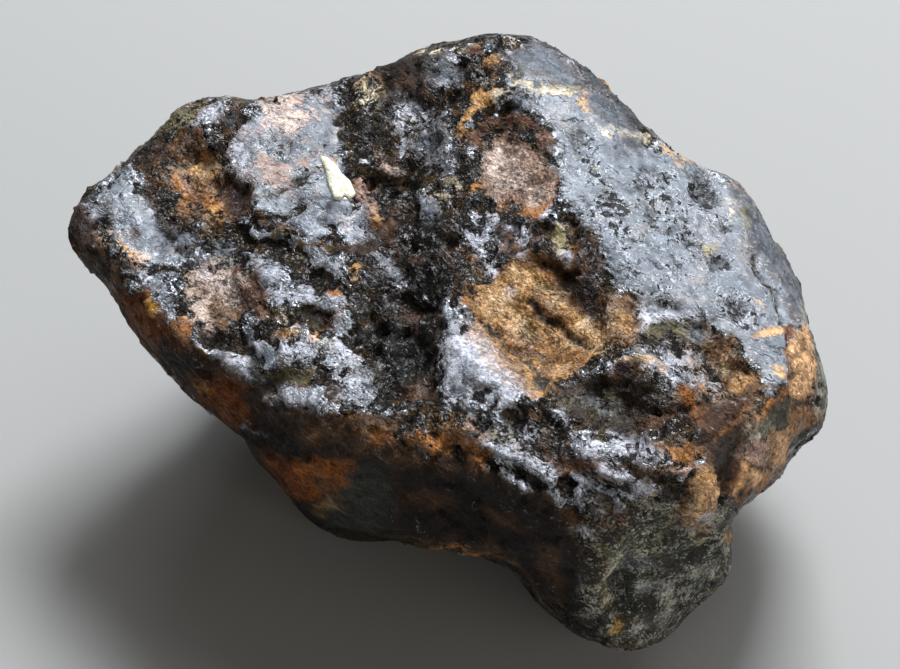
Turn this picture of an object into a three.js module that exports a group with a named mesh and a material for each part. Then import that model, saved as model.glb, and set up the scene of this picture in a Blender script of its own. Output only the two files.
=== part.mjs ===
// Chondrite meteorite: one weathered stone, about 69 mm long, that rests on a small flat spot.
// Millimetres, +Z up, -Y to the front. The origin is under the middle of the stone, on what it rests on.
//
// The stone is a field of distances. Flat faces meet in soft edges, an outline trims them to the stone's
// profile, and thumbprints, furrows, ribs, ledges and a fine unevenness are added to that. A finely divided
// egg lies inside, and each of its vertices is pushed straight out to where the field is zero.
import * as THREE from "three";
import { ImprovedNoise } from "three/addons/math/ImprovedNoise.js";
import { mergeVertices } from "three/addons/utils/BufferGeometryUtils.js";

// ---- Driving dimensions -----------------------------------------------------------------------------------
// The show side is laid out as it looks from a point over the front: right, up and towards that point.
const SIGHT_RISE = 50; // degrees above the horizon
const SIGHT_DISTANCE = 320; // from there to the middle of the stone
const BASE_DROP = 27.5; // the flat spot lies this far below the middle of the stone
const EGG_CENTRE = [2, 0, -7]; // right, up, towards
const EGG_HALVES = [22, 13, 7]; // its half length, half height and half thickness the same ways
const EGG_DIVISIONS = 21; // splits of each edge of the icosahedron that the egg is made from
const SHOW_SHARE = 0.2; // draws the vertices to the show side, which has the finest relief
const FARTHEST = 60; // no part of the stone is farther than this from its middle
const MARCH_STEP = 0.75; // coarse step along a ray
const MARCH_HALVINGS = 14; // then the crossing is closed in on by halves
const SHOW_STEP = 0.25; // step along a line of sight
const RELIEF_DEPTH = 8; // no relief is worked out farther than this from the body
const LINE_STEPS = 5; // straight steps from one point of a furrow or ledge to the next
const LINE_FADE = 5; // a furrow or ledge reaches full strength over this share of its length: one fifth
const OUTLINE_STEPS = 260; // straight steps that stand for the smooth outline
const OUTLINE_SWELL = 0.2; // the outline is let out by this, which its soft edge takes off again
const OUTLINE_SOFT = 1.8; // width of the soft edge between the outline and the faces
const HIDDEN_SOFT = 5; // and of the one between the show side and the other sides
const VALLEY_SOFT = 5; // and of the join along the valley

// ---- Outline ----------------------------------------------------------------------------------------------
// The profile of the show side, clockwise from the left tip: right and up.
const OUTLINE = [
  [-34.9, 8.6], [-34.5, 10.6], [-33.4, 12.5], [-31.8, 14.0], [-28.8, 16.4], [-27.2, 17.3],
  [-26.2, 18.9], [-24.7, 20.3], [-23.1, 21.0], [-21.3, 21.2], [-18.0, 20.8], [-14.2, 21.8],
  [-9.8, 22.7], [-6.2, 23.4], [-4.4, 25.1], [-1.8, 26.1], [0.9, 26.5], [6.5, 26.7],
  [10.0, 25.1], [11.6, 23.8], [14.5, 20.8], [18.0, 17.7], [20.7, 15.7], [22.8, 14.9],
  [25.2, 14.2], [26.7, 13.1], [27.6, 11.8], [28.3, 9.3], [29.3, 6.9], [30.6, 4.8],
  [31.5, 3.1], [32.0, -0.5], [32.6, -3.2], [33.0, -5.8], [32.3, -8.2], [30.6, -9.5],
  [29.6, -11.0], [28.8, -12.9], [26.5, -14.6], [25.2, -15.5], [24.6, -17.6], [24.7, -19.4],
  [24.3, -21.1], [22.6, -22.9], [19.8, -25.2], [18.0, -27.2], [16.0, -28.1], [14.0, -27.0],
  [10.1, -25.0], [7.9, -23.2], [6.8, -20.9], [2.9, -19.3], [-0.3, -18.9], [-4.4, -18.2],
  [-9.9, -17.4], [-13.1, -16.0], [-15.4, -13.0], [-17.6, -10.3], [-22.7, -5.0], [-26.5, -0.8],
  [-28.9, 1.9], [-30.6, 4.5], [-34.0, 6.0],
];

// ---- Faces ------------------------------------------------------------------------------------------------
// The show side is two masses with a valley between them. Each face has a point on it (right, up, towards the
// viewpoint), how much it comes forward for each millimetre to the right and up, and its soft edge's width.
const SHOW_MASSES = [
  [
    { name: "left shoulder", at: [-23.0, -1.4, 5.5], slope: [0.15, -0.6], soft: 3 },
    { name: "left brow", at: [-27.5, 2.6, 3.0], slope: [1.5, 0.9], soft: 3 },
    { name: "front left", at: [-14.5, -5.3, 9.2], slope: [0.9, 1.5], soft: 3 },
    { name: "left side of the valley", at: [-8.4, 5.0, 4.6], slope: [-0.75, -0.6], soft: 4 },
  ],
  [
    { name: "right side of the valley", at: [-5.0, 5.0, 2.6], slope: [1.2, -0.6], soft: 3 },
    { name: "crown", at: [-1.0, -8.5, 15.0], slope: [0.3, -0.63], soft: 3 },
    { name: "plateau", at: [13.0, 4.0, 12.5], slope: [-0.66, -0.9], soft: 3 },
    { name: "lip", at: [6.0, -10.0, 16.8], slope: [0.2, 0.1], soft: 4 },
    { name: "front", at: [-0.9, -9.2, 14.5], slope: [1.2, 1.5], soft: 3 },
    { name: "front right", at: [13.3, -14.7, 18.5], slope: [-0.45, 1.5], soft: 3 },
    { name: "broken right end", at: [30.7, -4.8, 8.7], slope: [-2.2, -0.3], soft: 2 },
    { name: "foot of the broken end", at: [26.5, -12.0, 13.0], slope: [-1.8, 1.0], soft: 2 },
  ],
];

// Faces of the other sides: the compass bearing each looks to (0 is +X, 90 is +Y) and how far it looks up, in
// degrees, its distance from the middle of the stone, and its soft edge.
const HIDDEN_FACES = [
  { name: "back", bearing: 92, rise: 2, reach: 28.5, soft: 6 },
  { name: "back left", bearing: 128, rise: -8, reach: 33.5, soft: 6 },
  { name: "back right", bearing: 45, rise: -10, reach: 31, soft: 6 },
  { name: "left underside", bearing: 205, rise: -48, reach: 27, soft: 5 },
  { name: "right underside", bearing: -8, rise: -40, reach: 33, soft: 5 },
  { name: "back underside", bearing: 80, rise: -48, reach: 27, soft: 6 },
  { name: "front underside", bearing: 265, rise: -48, reach: 29, soft: 4 },
  { name: "left end underside", bearing: 160, rise: -35, reach: 31.5, soft: 5 },
];

// ---- Relief -----------------------------------------------------------------------------------------------
// Hollows of the show side: centre (right, up), half length and half width, turn of the length anticlockwise
// in degrees, and depth. A knob has a negative depth.
const SHOW_HOLLOWS = [
  { name: "rusty thumbprint", at: [-22.2, 13.7], half: [4.4, 3.1], turn: 112, depth: 1.6 },
  { name: "maroon pit", at: [-19.0, 12.4], half: [2.1, 1.8], turn: 100, depth: 1.1 },
  { name: "pink thumbprint", at: [-20.3, 3.1], half: [4.0, 3.4], turn: 0, depth: 1.1 },
  { name: "lens pit", at: [-12.6, 1.3], half: [1.8, 1.3], turn: 0, depth: 0.9 },
  { name: "olive flat", at: [-14.8, -4.2], half: [2.9, 1.4], turn: -5, depth: 0.8 },
  { name: "nick in the top edge", at: [-9.8, 20.2], half: [2.4, 1.8], turn: 20, depth: 0.8 },
  { name: "brown knob", at: [-3.4, 23.2], half: [2.4, 2.2], turn: 0, depth: -0.8 },
  { name: "red thumbprint", at: [5.8, 14.6], half: [4.4, 3.6], turn: 98, depth: 1.6 },
  { name: "ochre thumbprint", at: [7.6, 0.7], half: [6.6, 4.7], turn: -35, depth: 2.5 },
  { name: "green thumbprint", at: [13.8, -6.0], half: [5.2, 3.1], turn: -25, depth: 1.9 },
  { name: "brown thumbprint", at: [25.0, -2.9], half: [3.2, 2.7], turn: -40, depth: 1.3 },
  { name: "corner pit", at: [22.9, 12.8], half: [2.5, 1.5], turn: 100, depth: 1.0 },
  { name: "plateau pit", at: [23.5, 6.4], half: [1.8, 1.1], turn: -10, depth: 0.7 },
  { name: "brown notch", at: [21.3, -8.8], half: [2.0, 1.5], turn: 0, depth: 1.1 },
  { name: "tan lump", at: [22.2, -14.9], half: [2.8, 2.4], turn: 60, depth: -1.2 },
  { name: "front hollow", at: [-1.0, -14.5], half: [7.5, 4.2], turn: -8, depth: 1.5 },
  { name: "left brow hollow", at: [-19.8, -5.6], half: [3.4, 2.4], turn: -40, depth: 0.8 },
];

// Furrows of the show side: half width, depth, and points along each. A rib has a negative depth.
const SHOW_FURROWS = [
  { name: "valley floor", half: 2.6, depth: 1.4,
    along: [[-6.2, 20.0], [-3.6, 15.0], [-6.0, 9.4], [-3.8, 4.2], [-5.2, -1.0], [-3.2, -6.8]] },
  { name: "gap under the knob", half: 1.4, depth: 1.2,
    along: [[-5.2, 21.2], [-2.0, 20.0], [1.4, 20.4]] },
  { name: "left furrow", half: 1.6, depth: 1.4,
    along: [[-21.8, 8.6], [-18.2, 8.4], [-15.1, 7.5], [-12.4, 5.3], [-9.3, 3.5]] },
  { name: "groove over the left brow", half: 1.4, depth: 1.3,
    along: [[-21.8, -0.7], [-18.4, -0.7], [-16.6, -3.6]] },
  { name: "upper crease in the ochre", half: 1.1, depth: 1.0,
    along: [[7.4, 2.8], [9.8, 0.5], [12.6, -0.5]] },
  { name: "lower crease in the ochre", half: 1.1, depth: 0.8,
    along: [[0.6, 1.0], [3.4, -0.3], [8.7, -3.9]] },
  { name: "dip in the plateau", half: 1.2, depth: 0.8,
    along: [[12.2, 19.0], [11.0, 16.0], [12.4, 13.6], [14.8, 12.2]] },
  { name: "crack at the right", half: 1.1, depth: 0.9,
    along: [[26.6, 8.4], [28.2, 5.3], [29.2, 2.4], [30.6, 0.4]] },
  { name: "gully at the right end", half: 1.4, depth: 1.2,
    along: [[26.2, -7.6], [25.2, -12.0], [24.9, -15.4]] },
  { name: "hollow of the foot", half: 1.3, depth: 1.0,
    along: [[15.4, -19.2], [14.9, -23.0], [15.6, -26.0]] },
  { name: "left brow rib", half: 1.6, depth: -0.9,
    along: [[-26.7, 5.3], [-25.3, 2.6], [-22.7, -1.2], [-19.4, -2.8], [-16.7, -4.9]] },
  { name: "brow rib", half: 1.3, depth: -0.8,
    along: [[-15.6, -6.2], [-11.0, -6.6], [-5.3, -6.4]] },
  { name: "rim of the ochre", half: 1.3, depth: -1.1,
    along: [[-0.9, 3.4], [0.2, 0.2], [3.0, -3.0], [6.4, -5.8], [10.2, -5.2]] },
  { name: "left flow rib", half: 1.3, depth: -1.2,
    along: [[0.4, -6.7], [3.6, -9.5], [7.1, -11.7], [10.6, -14.6]] },
  { name: "groove beside the left flow rib", half: 1.2, depth: 0.8,
    along: [[4.2, -7.2], [7.6, -9.4], [10.8, -12.4]] },
  { name: "right flow rib", half: 1.3, depth: -1.2,
    along: [[10.3, -8.8], [12.4, -11.0], [15.2, -12.0], [19.0, -14.0]] },
  { name: "shelf rib", half: 1.3, depth: -1.1,
    along: [[14.6, -0.9], [17.2, -1.5], [19.6, -3.6], [24.0, -6.3]] },
  { name: "groove over the shelf", half: 1.2, depth: 0.8,
    along: [[15.6, 2.0], [18.6, 0.2], [21.6, -1.6]] },
  { name: "edge of the foot", half: 1.5, depth: -1.3,
    along: [[18.0, -15.6], [14.4, -18.0], [12.6, -22.4], [13.6, -26.6]] },
];

// Ledges of the show side: how far the ground drops, how wide the drop is, how far away the ground is level
// again, and points along each, with the lower ground to the right of that way.
const SHOW_LEDGES = [
  { name: "edge of the plateau", drop: 1.8, width: 1.4, reach: 4.2,
    along: [[9.4, 11.2], [12.6, 9.2], [14.7, 6.4], [17.8, 3.1], [21.3, 0.6], [26.4, -1.0]] },
  { name: "brink of the red", drop: 1.4, width: 0.9, reach: 2.8,
    along: [[2.0, 16.8], [4.4, 19.2], [8.9, 18.2]] },
  { name: "cliff of the ochre", drop: 1.8, width: 1.0, reach: 3.2,
    along: [[5.6, 6.6], [10.2, 6.0], [13.4, 2.6], [13.8, -0.4]] },
  { name: "edge of the left plate", drop: 1.2, width: 0.9, reach: 2.6,
    along: [[-22.6, 6.6], [-24.7, 9.1], [-26.0, 11.5], [-27.8, 14.6]] },
  { name: "edge of the shoulder", drop: 1.4, width: 1.3, reach: 3.0,
    along: [[-18.0, 11.6], [-14.2, 12.5], [-10.6, 11.6], [-8.8, 9.4]] },
  { name: "broken edge", drop: 1.6, width: 0.9, reach: 3.0,
    along: [[25.4, -15.0], [26.4, -10.4], [28.2, -7.2], [30.4, -5.0], [30.8, 0.6]] },
  { name: "wall of the valley", drop: 1.4, width: 1.2, reach: 3.2,
    along: [[-0.8, 4.6], [-1.0, 0.0], [-0.8, -6.6]] },
];

// Thumbprints and knobs of the other sides: bearing and rise of the ray that meets the middle of each.
const HIDDEN_HOLLOWS = [
  { name: "back thumbprint, middle", bearing: 88, rise: 6, half: [8, 5.5], turn: 20, depth: 2.2 },
  { name: "back thumbprint, right", bearing: 42, rise: -8, half: [6.5, 4.5], turn: -25, depth: 1.9 },
  { name: "back thumbprint, left", bearing: 146, rise: -4, half: [6, 4.5], turn: 40, depth: 1.8 },
  { name: "small back thumbprint", bearing: 66, rise: 18, half: [4, 3], turn: 60, depth: 1.3 },
  { name: "lower back thumbprint", bearing: 75, rise: -34, half: [6, 4.5], turn: 0, depth: 1.8 },
  { name: "lower left thumbprint", bearing: 125, rise: -32, half: [5, 4], turn: -30, depth: 1.5 },
  { name: "left end thumbprint", bearing: 186, rise: -22, half: [5.5, 4], turn: 15, depth: 1.5 },
  { name: "right end thumbprint", bearing: -4, rise: -26, half: [5.5, 4], turn: 60, depth: 1.6 },
  { name: "front underside thumbprint", bearing: 246, rise: -40, half: [6.5, 4], turn: 10, depth: 1.4 },
  { name: "back knob", bearing: 112, rise: -14, half: [4.5, 3.5], turn: 30, depth: -1.3 },
  { name: "right back knob", bearing: 18, rise: -2, half: [4.5, 3.2], turn: 80, depth: -1.2 },
];

// Unevenness: wave length and height of each layer, drawn out along the way the crust flowed as it melted.
const WAVES = [
  { length: 14, height: 1.1 },
  { length: 7, height: 0.8 },
  { length: 3.8, height: 0.5 },
];
const NOISE_PHASE = new THREE.Vector3(3.7, 9.2, 5.1);
const FLOW_WAY = [1, -0.8]; // right and up
const FLOW_STRETCH = 0.45;

// ---- Frames -----------------------------------------------------------------------------------------------
const rise = THREE.MathUtils.degToRad(SIGHT_RISE);
const sightRight = new THREE.Vector3(1, 0, 0);
const sightUp = new THREE.Vector3(0, Math.sin(rise), Math.cos(rise));
const towardsSight = new THREE.Vector3(0, -Math.cos(rise), Math.sin(rise));

function fromSight(right, up, towards) {
  return new THREE.Vector3()
    .addScaledVector(sightRight, right)
    .addScaledVector(sightUp, up)
    .addScaledVector(towardsSight, towards);
}

// Where a point appears on the plane through the middle of the stone, and how much larger than life.
function seen(point) {
  const zoom = SIGHT_DISTANCE / (SIGHT_DISTANCE - point.dot(towardsSight));
  return { right: point.dot(sightRight) * zoom, up: point.dot(sightUp) * zoom, zoom };
}

function compass(bearing, riseDegrees) {
  const b = THREE.MathUtils.degToRad(bearing);
  const r = THREE.MathUtils.degToRad(riseDegrees);
  return new THREE.Vector3(Math.cos(b) * Math.cos(r), Math.sin(b) * Math.cos(r), Math.sin(r));
}

// ---- Body -------------------------------------------------------------------------------------------------
const outlineCurve = new THREE.CatmullRomCurve3(
  OUTLINE.map(([right, up]) => new THREE.Vector3(right, up, 0)),
  true,
  "centripetal",
);
const outlinePoints = outlineCurve.getPoints(OUTLINE_STEPS);

// Distance from the outline in its own plane: positive outside, negative inside.
function outlineDistance(right, up) {
  let nearest = Infinity;
  let inside = false;
  for (let i = 0; i < OUTLINE_STEPS; i++) {
    const a = outlinePoints[i];
    const b = outlinePoints[i + 1];
    const ex = b.x - a.x;
    const ey = b.y - a.y;
    const px = right - a.x;
    const py = up - a.y;
    const t = THREE.MathUtils.clamp((px * ex + py * ey) / (ex * ex + ey * ey), 0, 1);
    nearest = Math.min(nearest, Math.hypot(px - t * ex, py - t * ey));
    if (a.y > up !== b.y > up && px < (ex * py) / ey) inside = !inside;
  }
  return inside ? -nearest : nearest;
}

// The larger of two distances, with a soft edge where they are alike.
function softMax(a, b, soft) {
  const h = Math.max(soft - Math.abs(a - b), 0) / soft;
  return Math.max(a, b) + (h * h * soft) / 4;
}

function showFace({ at, slope, soft }) {
  const normal = fromSight(-slope[0], -slope[1], 1).normalize();
  return { normal, reach: normal.dot(fromSight(...at)), soft };
}

const [leftMass, rightMass] = SHOW_MASSES.map((mass) => mass.map(showFace));
const hiddenFaces = HIDDEN_FACES.map((face) => ({ ...face, normal: compass(face.bearing, face.rise) }));

function facesDistance(point, faces) {
  return faces.reduce(
    (distance, face) => softMax(distance, point.dot(face.normal) - face.reach, face.soft),
    -Infinity,
  );
}

// The stone before its relief: either mass, within the hidden faces and the outline.
function bodyDistance(point) {
  const { right, up, zoom } = seen(point);
  const show = -softMax(-facesDistance(point, leftMass), -facesDistance(point, rightMass), VALLEY_SOFT);
  const whole = softMax(show, facesDistance(point, hiddenFaces), HIDDEN_SOFT);
  return softMax(whole, outlineDistance(right, up) / zoom - OUTLINE_SWELL, OUTLINE_SOFT);
}

// Where a ray from inside comes out of the field.
function surfaceAlong(start, direction, field) {
  const at = (length) => field(start.clone().addScaledVector(direction, length));
  let inner = 0;
  while (inner < FARTHEST && at(inner + MARCH_STEP) < 0) inner += MARCH_STEP;
  let outer = inner + MARCH_STEP;
  for (let i = 0; i < MARCH_HALVINGS; i++) {
    const middle = (inner + outer) / 2;
    if (at(middle) < 0) inner = middle;
    else outer = middle;
  }
  return start.clone().addScaledVector(direction, (inner + outer) / 2);
}

// The place on the body's show side that is seen at (right, up).
function showPoint([right, up]) {
  const eye = fromSight(0, 0, SIGHT_DISTANCE);
  const direction = fromSight(right, up, 0).sub(eye).normalize();
  const point = eye.addScaledVector(direction, SIGHT_DISTANCE - FARTHEST);
  while (bodyDistance(point) > 0 && point.dot(towardsSight) > -FARTHEST) {
    point.addScaledVector(direction, SHOW_STEP);
  }
  return point;
}

function bodyNormal(point) {
  const slope = (axis) => {
    const step = new THREE.Vector3().setComponent(axis, SHOW_STEP);
    return bodyDistance(point.clone().add(step)) - bodyDistance(point.clone().sub(step));
  };
  return new THREE.Vector3(slope(0), slope(1), slope(2)).normalize();
}

// ---- Relief as shapes on the body -------------------------------------------------------------------------
// An oval bowl that lies along the body: level floor, then a rim that rises steeply.
function hollowAt(centre, { half, turn, depth }, rightWay) {
  const normal = bodyNormal(centre);
  const lengthwise = rightWay
    .clone()
    .addScaledVector(normal, -rightWay.dot(normal))
    .normalize()
    .applyAxisAngle(normal, THREE.MathUtils.degToRad(turn));
  const crosswise = new THREE.Vector3().crossVectors(normal, lengthwise);
  return (point) => {
    const from = point.clone().sub(centre);
    const x = from.dot(lengthwise) / half[0];
    const y = from.dot(crosswise) / half[1];
    const z = from.dot(normal) / (half[0] + half[1]);
    const q = x * x + y * y + z * z;
    return depth * Math.exp(-1.6 * q * q - 0.3 * q);
  };
}

// How far a point is from a line laid over the body, on which side of it, and how faint the line is there: it
// fades out towards both ends.
function lineOnBody(along) {
  const corners = along.map(showPoint);
  const curve = new THREE.CatmullRomCurve3(corners, false, "centripetal");
  const path = curve.getPoints(corners.length * LINE_STEPS);
  return (point) => {
    const nearest = { away: Infinity, side: 0, strength: 0 };
    for (let i = 0; i + 1 < path.length; i++) {
      const leg = path[i + 1].clone().sub(path[i]);
      const from = point.clone().sub(path[i]);
      const t = THREE.MathUtils.clamp(from.dot(leg) / leg.lengthSq(), 0, 1);
      const away = from.distanceTo(leg.clone().multiplyScalar(t));
      if (away < nearest.away) {
        const share = (i + t) / (path.length - 1);
        nearest.away = away;
        nearest.side = Math.sign(from.cross(leg).dot(towardsSight));
        nearest.strength = Math.min(1, LINE_FADE * share, LINE_FADE * (1 - share));
      }
    }
    return nearest;
  };
}

function furrowAlong({ along, half, depth }) {
  const line = lineOnBody(along);
  return (point) => {
    const { away, strength } = line(point);
    return depth * strength * Math.exp(-((away / half) ** 2));
  };
}

function ledgeAlong({ along, drop, width, reach }) {
  const line = lineOnBody(along);
  return (point) => {
    const { away, side, strength } = line(point);
    return (drop / 2) * side * strength * Math.tanh(away / width) * Math.exp(-((away / reach) ** 2));
  };
}

function hiddenHollow(hollow) {
  const outward = compass(hollow.bearing, hollow.rise);
  const level = new THREE.Vector3(-outward.y, outward.x, 0);
  return hollowAt(surfaceAlong(fromSight(...EGG_CENTRE), outward, bodyDistance), hollow, level);
}

const relief = [
  ...SHOW_HOLLOWS.map((hollow) => hollowAt(showPoint(hollow.at), hollow, sightRight)),
  ...SHOW_FURROWS.map(furrowAlong),
  ...SHOW_LEDGES.map(ledgeAlong),
  ...HIDDEN_HOLLOWS.map(hiddenHollow),
];

const noise = new ImprovedNoise();
const flow = fromSight(...FLOW_WAY, 0).normalize();

function unevenness(point) {
  const drawnOut = point.clone().addScaledVector(flow, -FLOW_STRETCH * point.dot(flow));
  return WAVES.reduce((sum, { length, height }) => {
    const p = drawnOut.clone().divideScalar(length).add(NOISE_PHASE);
    return sum + height * noise.noise(p.x, p.y, p.z);
  }, 0);
}

function stoneDistance(point) {
  const body = bodyDistance(point);
  if (Math.abs(body) > RELIEF_DEPTH) return body;
  return relief.reduce((sum, shape) => sum + shape(point), body) + unevenness(point);
}

// ---- The stone --------------------------------------------------------------------------------------------
// The egg's vertex in the direction n, and the way straight out of the egg there.
function eggRay(n) {
  const start = EGG_CENTRE.map((middle, axis) => middle + EGG_HALVES[axis] * n.getComponent(axis));
  const outward = EGG_HALVES.map((half, axis) => n.getComponent(axis) / half);
  return { start: fromSight(...start), outward: fromSight(...outward).normalize() };
}

function stoneGeometry() {
  const ball = new THREE.IcosahedronGeometry(1, EGG_DIVISIONS);
  ball.deleteAttribute("normal");
  ball.deleteAttribute("uv");
  const geometry = mergeVertices(ball);
  const position = geometry.getAttribute("position");
  const n = new THREE.Vector3();
  for (let i = 0; i < position.count; i++) {
    n.fromBufferAttribute(position, i);
    n.z += SHOW_SHARE;
    const { start, outward } = eggRay(n.normalize());
    const point = surfaceAlong(start, outward, stoneDistance);
    position.setXYZ(i, point.x, point.y, Math.max(point.z, -BASE_DROP));
  }
  geometry.computeBoundingBox();
  const { min, max } = geometry.boundingBox;
  geometry.translate(-(min.x + max.x) / 2, -(min.y + max.y) / 2, -min.z);
  geometry.computeVertexNormals();
  return geometry;
}

const crust = new THREE.MeshStandardMaterial({ color: 0x3a3432, roughness: 0.45, metalness: 0 });

const stone = new THREE.Mesh(stoneGeometry(), crust);
stone.name = "stone";

const meteorite = new THREE.Group();
meteorite.name = "meteorite";
meteorite.add(stone);

export default meteorite;
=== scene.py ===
import math

import bmesh
import bpy
import numpy as np
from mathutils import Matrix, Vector, noise
from mathutils.bvhtree import BVHTree


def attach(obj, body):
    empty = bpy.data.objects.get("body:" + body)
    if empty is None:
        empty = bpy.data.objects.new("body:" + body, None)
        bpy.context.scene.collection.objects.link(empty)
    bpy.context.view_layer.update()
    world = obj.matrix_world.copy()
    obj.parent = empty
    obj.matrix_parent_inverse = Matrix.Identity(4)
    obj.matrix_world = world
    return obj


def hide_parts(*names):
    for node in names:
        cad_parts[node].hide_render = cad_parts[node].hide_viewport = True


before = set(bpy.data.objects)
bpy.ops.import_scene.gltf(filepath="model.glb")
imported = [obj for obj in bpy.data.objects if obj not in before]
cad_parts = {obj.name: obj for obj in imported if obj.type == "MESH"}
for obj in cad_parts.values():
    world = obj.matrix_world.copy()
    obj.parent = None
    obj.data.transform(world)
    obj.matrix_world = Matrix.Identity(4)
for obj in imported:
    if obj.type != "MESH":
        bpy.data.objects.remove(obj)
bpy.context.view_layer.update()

MM = 0.001

# ---- The line of sight ------------------------------------------------------------------------------------
# The show side is the one that an eye at this rise and distance sees, in millimetres and radians.
SIGHT_RISE = math.radians(50)
SIGHT_DISTANCE = 320.0
MIDDLE = np.array([0.376, -2.879, 27.5])
RIGHT = np.array([1.0, 0.0, 0.0])
UP = np.array([0.0, math.sin(SIGHT_RISE), math.cos(SIGHT_RISE)])
TOWARDS = np.array([0.0, -math.cos(SIGHT_RISE), math.sin(SIGHT_RISE)])

# Places on the show side are marks on a view of this size from the same eye: right of its left edge and down
# from its top edge. Lengths beside them are marks too, and turns are clockwise, in degrees.
VIEW_WIDTH = 900
VIEW_HEIGHT = 669
MARKS_PER_MM = 11.25

# ---- Fineness of the dressed stone ------------------------------------------------------------------------
JOIN_WITHIN = 0.001  # millimetres between points that are one
ROUNDING_LEVELS = 2
MESH_SPACING = 0.372  # millimetres between points of the even mesh
EVENING_ROUNDS = 4
EVENING_PULL = 0.5
HOLLOW_ROUNDS = 24  # how far round a place the ground is evened to tell how deep the place lies
HOLLOW_DEPTH = 0.16  # millimetres below the evened ground that count as fully hollow

# ---- Edges of what lies on it -----------------------------------------------------------------------------
WANDER = 4.5  # marks that the edge of a stain or pit strays
WANDER_SIZE = 2.2  # millimetres between two such strays
WANDER_COARSE = 1.6  # share of the coarse strays
WANDER_FINE = 0.8  # and of the finer ones,
WANDER_FINER = 2.7  # which are this many times as close together
WANDER_SEED = 1795516818  # keeps the strays the same in every run
PATCH_EDGE = 0.16  # how softly the patches of the other sides fade
GROUND_RANGE = (-0.3, 1.0)  # least and most of the polish, the pits and the pale grains
# How squarely the ground has to face the eye, from none to all of:
SHOW_EDGE = (-0.16, 0.04)  # the stains and finishes of the show side
DENT_EDGE = (0.02, 0.22)  # its dents
CALM_EDGE = (0.05, 0.4)  # the height that the grain has away from the outline
CALM_SHARE = 0.4  # height of the grain at the outline, against elsewhere
CALM_FLOOR = 3.5  # millimetres above the floor over which the grain rises to its height elsewhere

# ---- Grain of the crust, in millimetres -------------------------------------------------------------------
GRAIN = {
    "Lump size": 4.4,
    "Lump height": 0.5,
    "Chip size": 2.4,
    "Chip slope": 0.48,
    "Crumb size": 1.15,
    "Crumb slope": 0.36,
    "Ripple size": 1.5,
    "Ripple height": 0.25,
    "Seed": 4.7,
}
STEP_SHARE = 0.25  # height of the steps between chips, against their slopes
SEED_SHIFT = (31.7, -17.3, 8.9)  # how far a seed of 1 moves a noise
FLOW_WAY = tuple((RIGHT - 0.8 * UP) / np.linalg.norm(RIGHT - 0.8 * UP))
FLOW_STRETCH = 0.35  # share by which the coarse grain is drawn out along the flow
STREAK_STRETCH = 0.74  # and the fine streaks
CRUMB_STRETCH = 0.4  # and the smallest chips
CRACK_STRETCH = 0.5  # and the cracks and crumbs


# ---- Shapes on the show side ------------------------------------------------------------------------------
def smooth(low, high, value):
    """0 below low, 1 above high, and a smooth rise between them."""
    t = np.clip((value - low) / (high - low), 0, 1)
    return t * t * (3 - 2 * t)


def spot(x, y, long, wide=None, turn=0, soft=0.7):
    """An oval around x, y: long is half its length, and it fades from 1 inside to 0 outside."""
    wide = long if wide is None else wide
    c, s = math.cos(math.radians(turn)), math.sin(math.radians(turn))

    def share(view):
        dx, dy = view[:, 0] - x, view[:, 1] - y
        radius = np.hypot((dx * c + dy * s) / long, (dy * c - dx * s) / wide)
        return 1 - smooth(1 - soft, 1 + soft, radius)

    return share


def distance_to(view, points):
    """Distance to the nearest of the lines between points."""
    nearest = np.full(len(view), np.inf)
    for a, b in zip(points[:-1], points[1:]):
        a, b = np.array(a, float), np.array(b, float)
        along = b - a
        t = np.clip((view - a) @ along / (along @ along), 0, 1)
        nearest = np.minimum(nearest, np.linalg.norm(view - a - t[:, None] * along, axis=1))
    return nearest


def streak(half, *points, soft=0.9):
    """A band of that half width along points."""
    return lambda view: 1 - smooth(half * (1 - soft), half * (1 + soft), distance_to(view, points))


def dimple(x, y, long, wide=None, turn=0):
    """A spot that fades as softly as a small hollow does."""
    return spot(x, y, long, wide, turn, soft=0.9)


def groove(half, *points):
    """A streak that fades as softly as a small furrow does."""
    return streak(half, *points, soft=1.0)


def area(*points, edge=11.0):
    """The ground inside a ring of points, fading over edge."""

    def share(view):
        ring = [*points, points[0]]
        inside = np.zeros(len(view), bool)
        for (ax, ay), (bx, by) in zip(ring[:-1], ring[1:]):
            crosses = (ay > view[:, 1]) != (by > view[:, 1])
            at = ax + (view[:, 1] - ay) * (bx - ax) / (by - ay if by != ay else 1)
            inside ^= crosses & (view[:, 0] < at)
        away = distance_to(view, ring)
        return smooth(-edge, edge, np.where(inside, away, -away))

    return share


# Grounds and lines that several lists below share.
LEFT_PLATE = area((100, 195), (125, 170), (150, 195), (176, 245), (150, 262), (105, 235))
CROWN = area((232, 135), (262, 105), (330, 85), (345, 110), (340, 150), (350, 235), (335, 215), (300, 202),
             (262, 205), (246, 180), (232, 160))
PLATEAU = area((505, 58), (540, 40), (600, 90), (650, 138), (700, 165), (745, 185), (775, 245), (805, 305),
               (798, 330), (790, 385), (765, 392), (740, 345), (700, 318), (660, 318), (610, 275), (598, 235),
               (560, 195), (555, 150), (540, 112), (525, 96), (508, 80))
VALLEY = area((372, 95), (400, 100), (400, 200), (455, 215), (440, 300), (440, 410), (360, 400), (375, 200))
RIB_GROUND = area((450, 210), (520, 215), (600, 230), (600, 270), (500, 275), (450, 265))
OCHRE_BED = area((478, 290), (505, 272), (535, 266), (562, 280), (585, 305), (603, 335), (596, 352),
                 (565, 378), (548, 388), (525, 382), (500, 358), (470, 325))
FOOT = area((640, 500), (735, 505), (736, 560), (700, 605), (650, 652), (610, 640), (575, 600), (590, 560))
SLAB = area((400, 108), (440, 115), (465, 150), (455, 172), (425, 165), (402, 140))
CROWN_CRACK = [(275, 196), (290, 184), (302, 178), (318, 174)]
BED_CRACK = [(528, 304), (545, 315), (560, 330), (576, 342), (596, 346)]
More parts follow.
